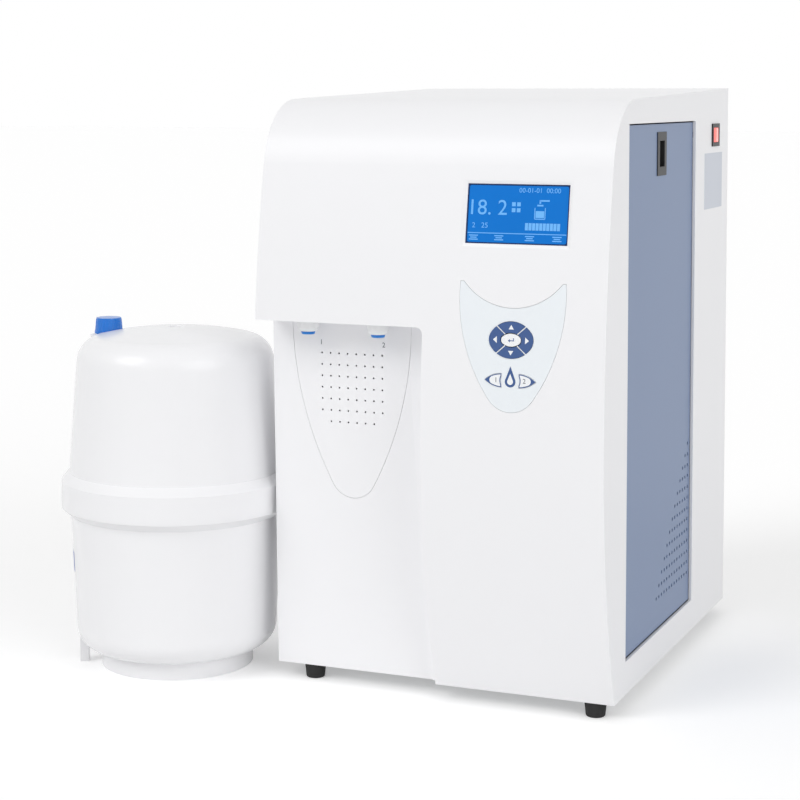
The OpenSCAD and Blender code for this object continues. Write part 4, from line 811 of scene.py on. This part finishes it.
@dataclass
class Keypad:
    """Shield-shaped keypad with its keys and prints.

    Attributes:
        nodes: All CAD nodes by name.
        front: Shape of the front.
        x: Centre line across the cabinet, in mm.
        dial_z: Middle of the direction keys.
        leaf_z: Middle of the outlet keys.
        leaf_r: Radius of an outlet key's long sides.
        leaf_half: Half its height.
        leaf_x: Middle of its line and of its number, from the centre line.
        leaf_line: Width of the line round it.
        number_height: Height of its number.
        arrows: Distance of the arrows from the dial's middle, across and up.
        web_slope: Rise and run of the gaps between the direction keys.
        web_reach: Where a gap begins and ends, from the dial's middle.
        proud: How far the keys stand out.
        lens_proud: How far the drop's print stands out.
        web_proud: How far the carrier in the gaps stands out.
    """

    nodes: Nodes
    front: FrontCurve
    x: float = 268.0
    dial_z: float = 363.5
    leaf_z: float = 325.5
    leaf_r: float = 25.5
    leaf_half: float = 6.6
    leaf_x: Pair = (8.3, 14.0)
    leaf_line: float = 0.9
    number_height: float = 4.6
    arrows: Pair = (15.6, 11.8)
    web_slope: Pair = (17.3 * 1.12, 21.9)
    web_reach: Pair = (8.0, 19.4)
    proud: float = 0.52
    lens_proud: float = 0.22
    web_proud: float = 0.1

    def dress(self) -> None:
        """Dresses the keypad's CAD nodes."""
        dress_all(self.nodes, ("keypad_plate", OVERLAY, 0.0), ("keypad_board", BOARD_GREEN, 0.0),
                  ("drop_lens key_up key_right key_down key_left", OVERLAY_BLUE, 0.0),
                  ("key_enter key_outlet_left key_outlet_right", OVERLAY_WHITE, 0.0))

    def _print(self, name: str, mesh: Mesh, look: Finish, body: str, x: float,
               z: float) -> None:
        """Lays a print onto the front.

        Args:
            name: Name of the piece.
            mesh: The flat print in mm.
            look: Its finish.
            body: The body it moves with.
            x: Place across from the keypad's centre line.
            z: Height above the bench.
        """
        self.front.lay(mesh, self.x + x, z, self.proud)
        finish_piece(name, mesh, look, body)

    def print_icons(self) -> None:
        """Prints the arrows, the return sign, the drop's hollow and the outlet numbers."""
        across, rise = self.arrows
        for way, points, x, up in (
                ("up", [(-2.6, -1.8), (2.6, -1.8), (0.0, 2.4)], 0.0, rise),
                ("down", [(-2.6, 1.8), (0.0, -2.4), (2.6, 1.8)], 0.0, -rise),
                ("right", [(-1.6, -3.2), (2.2, 0.0), (-1.6, 3.2)], across, 0.0),
                ("left", [(1.6, -3.2), (1.6, 3.2), (-2.2, 0.0)], -across, 0.0)):
            self._print(f"print_{way}", outline_mesh(points, INK_MM), OVERLAY_WHITE,
                        f"{way}_key", x, self.dial_z + up)
        enter = outline_mesh([(-3.0, -0.6), (-1.2, -2.1), (-1.2, -1.05), (3.0, -1.05),
                              (3.0, 1.9), (2.1, 1.9), (2.1, -0.15), (-1.2, -0.15),
                              (-1.2, 0.9)], INK_MM)
        self._print("print_enter", enter, OVERLAY_BLUE, "enter_key", 0.0, self.dial_z)
        hollow = outline_mesh([Arc(0.0, -1.0, 2.9, -200.0, 20.0), (0.0, 6.4)], INK_MM, steps=24)
        self.front.lay(hollow, self.x, self.leaf_z, self.lens_proud)
        finish_piece("print_drop", hollow, OVERLAY_WHITE, "cabinet")
        line_x, number_x = self.leaf_x
        for side, number, body in ((-1, "1", "left_outlet_key"), (1, "2", "right_outlet_key")):
            self._print(f"print_rim_{number}", self._leaf_rim(side), OVERLAY_BLUE, body,
                        side * line_x, self.leaf_z)
            digit = text_mesh(number, self.number_height, INK_MM)
            self._print(f"print_number_{number}", digit, PRINT_GREY, body, side * number_x,
                        self.leaf_z)

    def lay_webs(self) -> None:
        """Fills the gaps between the direction keys with the white carrier behind them."""
        slope = math.atan2(*self.web_slope)
        near, far = self.web_reach
        for i, angle in enumerate((slope, math.pi - slope, math.pi + slope, -slope)):
            strip = bmesh.new()
            add_box(strip, Vector((near, 0.0, -0.5)), Vector((far, 1.0, 0.5)))
            bmesh.ops.rotate(strip, cent=(0, 0, 0), matrix=Matrix.Rotation(-angle, 3, "Y"),
                             verts=strip.verts)
            self.front.lay(strip, self.x, self.dial_z, self.web_proud)
            finish_piece(f"keypad_web_{i + 1}", strip, OVERLAY_WHITE, "cabinet")

    def _leaf_rim(self, side: int) -> Mesh:
        """Makes the blue line round an outlet key, which swells to a crescent at its tip.

        Args:
            side: -1 for the left key, 1 for the right.

        Returns:
            The line as a plate in mm.
        """
        radius, drop = self.leaf_r - 0.15, self.leaf_r - self.leaf_half
        tip = math.degrees(math.asin(drop / radius))
        inside, drop_x = radius - self.leaf_line, -self.leaf_x[0]
        # The long sides end at the tip and at the round flank of the drop between the keys.
        outer = [Arc(0.0, -drop, radius, 89.6, tip + 0.3),
                 Arc(0.0, drop, radius, -tip - 0.3, -89.6), Arc(drop_x, 0.0, 9.6, -26.5, 26.5)]
        inner = [Arc(0.0, -drop, inside, 87.2, 64.5), Arc(8.4, 0.0, 3.8, 52.0, -52.0),
                 Arc(0.0, drop, inside, -64.5, -87.2),
                 Arc(drop_x, 0.0, 9.6 + self.leaf_line, -25.0, 25.0)]
        mesh = outline_mesh(outer, INK_MM, inner, steps=14)
        if side < 0:
            bmesh.ops.scale(mesh, vec=(-1.0, 1.0, 1.0), verts=mesh.verts)
        return mesh


@dataclass
class Side:
    """Service door, latch, power switch and label in the right side.

    Attributes:
        nodes: All CAD nodes by name.
        wall_x: The side's outer face in mm.
        label_x: Back and face of the label, from that face.
        label_y: Front and rear edge of the label.
        label_z: Its lower and upper edge.
    """

    nodes: Nodes
    wall_x: float = 360.0
    label_x: Pair = (-0.02, 0.15)
    label_y: Pair = (372.0, 452.0)
    label_z: Pair = (468.0, 529.0)

    def dress(self) -> None:
        """Dresses the side's CAD nodes."""
        dress_all(self.nodes, ("side_door", DOOR_COAT, 0.5), ("latch_bezel", BLACK_PA, 0.4),
                  ("latch_slider", GREY_PA, 0.4), ("hinge_brackets", ZINC, 0.0),
                  ("switch_frame", BLACK_PA, 0.4), ("rocker", ROCKER_PC, 0.4))

    def label(self) -> None:
        """Adds the bare grey label under the switch."""
        low, high = (row(self.wall_x + x, y, z)
                     for x, y, z in zip(self.label_x, self.label_y, self.label_z))
        mesh = bmesh.new()
        add_box(mesh, low, high)
        finish_piece("side_label", mesh, LABEL_SILVER, "cabinet")


@dataclass
class Inside:
    """Everything behind the door and the panels."""

    nodes: Nodes

    def dress(self) -> None:
        """Dresses the inner CAD nodes."""
        tubes = " ".join(name for name in self.nodes if name.startswith("tube_"))
        dress_all(
            self.nodes, ("filter_bracket power_supply", ZINC, 0.0),
            ("filter_heads osmosis_vessel conductivity_cell port_nuts "
             "cartridge_1 cartridge_2 cartridge_3 cartridge_4", FILTER_PP, 0.0),
            ("vessel_clips uv_clips pump_motor rear_ports", GREY_PA, 0.0),
            ("pump_head mains_inlet", BLACK_PA, 0.0), ("pump_mount", RUBBER, 0.0),
            ("uv_chamber", STAINLESS, 0.0), ("uv_lamp", QUARTZ, 0.0),
            ("solenoid_valves", COIL_BLUE, 0.0), ("control_board", BOARD_GREEN, 0.0),
            ("board_standoffs", BRASS, 0.0), (tubes, TUBE_PE, 0.0))


@dataclass
class Rear:
    """Screws of the rear panel.

    Attributes:
        depth: Depth of the panel's outer face in mm.
        screw_x: Places of the screws across the panel.
        screw_z: Their heights.
        head: Radius, height and rounding of a head.
        recess: Width of the rim round its recess, and the recess's depth.
    """

    depth: float = 480.0
    screw_x: tuple[float, ...] = (7.3, 352.7)
    screw_z: tuple[float, ...] = (60.0, 260.0, 540.0)
    head: tuple[float, float, float] = (3.4, 2.0, 0.6)
    recess: Pair = (1.7, 0.8)

    def fasten(self) -> None:
        """Adds the panel's screws."""
        mesh = bmesh.new()
        for x in self.screw_x:
            for z in self.screw_z:
                head = self._head(row(x, self.depth, z))
                copy = bpy.data.meshes.new("head")
                head.to_mesh(copy)
                head.free()
                mesh.from_mesh(copy)
                bpy.data.meshes.remove(copy)
        finish_piece("rear_screws", mesh, SCREW_STEEL, "cabinet", smooth=True)

    def _head(self, foot: Vector) -> Mesh:
        """Makes a round head that faces the rear, with a recess in its top.

        Args:
            foot: Middle of its foot in the row frame.

        Returns:
            The head as a bmesh.
        """
        radius, height, rounding = (size * MM for size in self.head)
        rim, deep = (size * MM for size in self.recess)
        mesh = bmesh.new()
        turn = Vector((0, 1, 0)).to_track_quat("Z", "Y").to_matrix().to_4x4()
        bmesh.ops.create_cone(mesh, cap_ends=True, segments=32, radius1=radius, radius2=radius,
                              depth=height, matrix=Matrix.Translation((0, 0, height / 2)))
        edges = [e for e in mesh.edges if all(v.co.z > height * 0.99 for v in e.verts)]
        bmesh.ops.bevel(mesh, geom=edges, offset=rounding, offset_type="OFFSET", segments=2,
                        profile=0.5, affect="EDGES", material=-1)
        bmesh.ops.transform(mesh, matrix=Matrix.Translation(foot) @ turn, verts=mesh.verts)
        top = [f for f in mesh.faces if f.normal.y > 0.9]
        bmesh.ops.inset_region(mesh, faces=top, thickness=rim, depth=-deep)
        return mesh


@dataclass
class PressureTank:
    """Free-standing tank with its port, its cap and a bare sticker on its side.

    Attributes:
        nodes: All CAD nodes by name.
        axis: Place of its axis in the cabinet's coordinates, in mm.
        wall: Two heights on the lower shell with the wall's radius at each.
        sticker: Lower and upper edge of the sticker, its first and last angle in degrees, and
            how far it stands out.
        field: The same of the pale field on it.
        under: How far a patch's back stands off the wall.
        steps: Faces of a patch round the shell.
    """

    nodes: Nodes
    axis: Pair = (-124.5, 68.0)
    wall: tuple[Pair, Pair] = ((42.0, 104.0), (167.0, 109.5))
    sticker: tuple[float, float, float, float, float] = (100.0, 121.0, 168.0, 219.0, 0.12)
    field: tuple[float, float, float, float, float] = (103.0, 118.0, 171.0, 212.0, 0.2)
    under: float = 0.02
    steps: int = 24

    def dress(self) -> None:
        """Dresses the tank's CAD nodes."""
        dress_all(self.nodes, ("tank_upper tank_lower", TANK_PP, 1.2),
                  ("tank_diaphragm", BUTYL, 0.0), ("tank_port", OUTLET_PP, 0.3),
                  ("tank_cap", CAP_PE, 0.25))

    def stick(self) -> None:
        """Puts the bare blue sticker on the side that faces away from the cabinet."""
        self._patch("tank_sticker", *self.sticker, LABEL_BLUE)
        self._patch("tank_sticker_field", *self.field, LABEL_SILVER)

    def _patch(self, name: str, low: float, high: float, start: float, end: float,
               proud: float, look: Finish) -> None:
        """Bends a thin patch round the lower shell.

        Args:
            name: Name of the piece.
            low: Height of its lower edge in mm.
            high: Height of its upper edge.
            start: Angle of its first end about the tank's axis, in degrees.
            end: Angle of its other end.
            proud: How far it stands on the wall.
            look: Its finish.
        """
        (z0, r0), (z1, r1) = self.wall
        radii = [r0 + (z - z0) * (r1 - r0) / (z1 - z0) for z in (low, high)]
        mesh = bmesh.new()
        rim: list[bmesh.types.BMVert] = []
        for lift in (proud, self.under):
            for z, radius in zip((low, high), radii):
                rim += bmesh.ops.create_vert(mesh, co=(radius + lift, 0.0, z))["vert"]
        a, b, d, c = rim
        for pair in ((a, b), (b, c), (c, d), (d, a)):
            bmesh.ops.contextual_create(mesh, geom=list(pair))
        section = bmesh.ops.contextual_create(mesh, geom=mesh.edges[:])["faces"]
        bmesh.ops.rotate(mesh, cent=(0, 0, 0), verts=mesh.verts,
                         matrix=Matrix.Rotation(math.radians(start), 3, "Z"))
        bmesh.ops.spin(mesh, geom=section + mesh.edges[:] + mesh.verts[:], axis=(0, 0, 1),
                       cent=(0, 0, 0), angle=math.radians(end - start), steps=self.steps,
                       use_merge=False)
        into_row(mesh, *self.axis)
        finish_piece(name, mesh, look, "tank")


@dataclass
class Studio:
    """Floor, lamps, world and camera.

    Attributes:
        ambient: Strength of the world's light.
        suns: Direction to each lamp, its strength and its angle in degrees.
        lamp_far: Distance of the lamps in metres.
        floor_half: Half the floor's width in metres.
        floor_lift: What the floor adds for the camera to come out white outside the shadow.
        camera_mm: Place of the camera in the cabinet's coordinates.
        camera_deg: Its tilt from straight down and its turn about +Z.
        sensor: Width of its sensor in mm.
        lens: Its focal length in mm.
        shift: Vertical shift of the lens.
    """

    ambient: float = 0.56
    suns: tuple[tuple[tuple[float, float, float], float, float], ...] = (
        ((-0.45, -0.70, 0.62), 0.85, 30.0),
        ((0.80, -0.45, 0.42), 0.70, 40.0),
    )
    lamp_far: float = 4.0
    floor_half: float = 30.0
    floor_lift: float = 0.27
    camera_mm: tuple[float, float, float] = (879.6, -1740.3, 592.4)
    camera_deg: Pair = (86.199, 22.549)
    sensor: float = 36.0
    lens: float = 89.26
    shift: float = -0.2165

    def build(self) -> None:
        """Builds the studio: world, floor, lamps and camera."""
        self._world()
        self._floor()
        self._lamps()
        self._camera()
        bpy.context.scene.view_settings.view_transform = "Standard"

    def _seen(self, tree: bpy.types.NodeTree) -> bpy.types.NodeSocket:
        """Makes a factor that is 1 for rays that look at the background.

        Args:
            tree: The node tree.

        Returns:
            The factor's socket.
        """
        path = add_node(tree, "ShaderNodeLightPath")
        seen = path.outputs["Is Camera Ray"]
        for ray in ("Is Glossy Ray", "Is Transmission Ray"):
            seen = add_node(tree, "ShaderNodeMath", {0: seen, 1: path.outputs[ray]},
                            operation="MAXIMUM").outputs[0]
        return seen

    def _world(self) -> None:
        """Makes an even pale surround that is white to the camera."""
        world = bpy.data.worlds.new("studio")
        world.use_nodes = True
        tree = world.node_tree
        tree.nodes.clear()
        light = add_node(tree, "ShaderNodeBackground",
                         {"Color": (1, 1, 1, 1), "Strength": self.ambient})
        white = add_node(tree, "ShaderNodeBackground", {"Color": (1, 1, 1, 1), "Strength": 1.0})
        mix = add_node(tree, "ShaderNodeMixShader", {0: self._seen(tree),
                                                     1: light.outputs[0], 2: white.outputs[0]})
        add_node(tree, "ShaderNodeOutputWorld", {"Surface": mix.outputs[0]})
        bpy.context.scene.world = world

    def _floor(self) -> None:
        """Makes a pale floor that keeps the shadow and is otherwise white to the camera."""
        mesh = bmesh.new()
        bmesh.ops.create_grid(mesh, x_segments=1, y_segments=1, size=self.floor_half)
        data = bpy.data.meshes.new("floor")
        mesh.to_mesh(data)
        mesh.free()
        floor = bpy.data.objects.new("floor", data)
        bpy.context.scene.collection.objects.link(floor)
        material = bpy.data.materials.new("studio_floor_paper")
        material.use_nodes = True
        tree = material.node_tree
        tree.nodes.clear()
        paper = add_node(tree, "ShaderNodeBsdfDiffuse", {"Color": linear("#F2F2F2")})
        lift = add_node(tree, "ShaderNodeMath", {0: self._seen(tree), 1: self.floor_lift},
                        operation="MULTIPLY")
        white = add_node(tree, "ShaderNodeEmission", {"Color": (1, 1, 1, 1),
                                                      "Strength": lift.outputs[0]})
        both = add_node(tree, "ShaderNodeAddShader", {0: paper.outputs[0], 1: white.outputs[0]})
        add_node(tree, "ShaderNodeOutputMaterial", {"Surface": both.outputs[0]})
        data.materials.append(material)

    def _lamps(self) -> None:
        """Hangs the soft lamps."""
        for i, (towards, strength, angle) in enumerate(self.suns):
            lamp = bpy.data.lights.new(f"lamp_{i}", "SUN")
            lamp.energy = strength
            lamp.angle = math.radians(angle)
            holder = bpy.data.objects.new(f"lamp_{i}", lamp)
            holder.rotation_euler = Vector(towards).to_track_quat("Z", "Y").to_euler()
            holder.location = Vector(towards) * self.lamp_far
            bpy.context.scene.collection.objects.link(holder)

    def _camera(self) -> None:
        """Sets up the camera at the photograph's angle."""
        data = bpy.data.cameras.new("camera")
        data.lens = self.lens
        data.sensor_width = self.sensor
        data.shift_y = self.shift
        camera = bpy.data.objects.new("camera", data)
        camera.location = row(*self.camera_mm)
        tilt, turn = self.camera_deg
        camera.rotation_euler = (math.radians(tilt), 0.0, math.radians(turn))
        bpy.context.scene.collection.objects.link(camera)
        bpy.context.scene.camera = camera


def main() -> None:
    """Builds the looks in order and reports each piece."""
    logging.basicConfig(level=logging.INFO, format="%(message)s")
    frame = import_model()
    nodes = frame["nodes"]
    front = FrontCurve()
    cabinet = Cabinet(nodes, front)
    cabinet.dress()
    cabinet.close_side()
    cabinet.number_outlets()
    display = Display(nodes, front)
    display.dress()
    display.draw()
    keypad = Keypad(nodes, front)
    keypad.dress()
    keypad.print_icons()
    keypad.lay_webs()
    side = Side(nodes)
    side.dress()
    side.label()
    inside = Inside(nodes)
    inside.dress()
    Rear().fasten()
    tank = PressureTank(nodes)
    tank.dress()
    tank.stick()
    Studio().build()


if __name__ == "__main__":
    main()
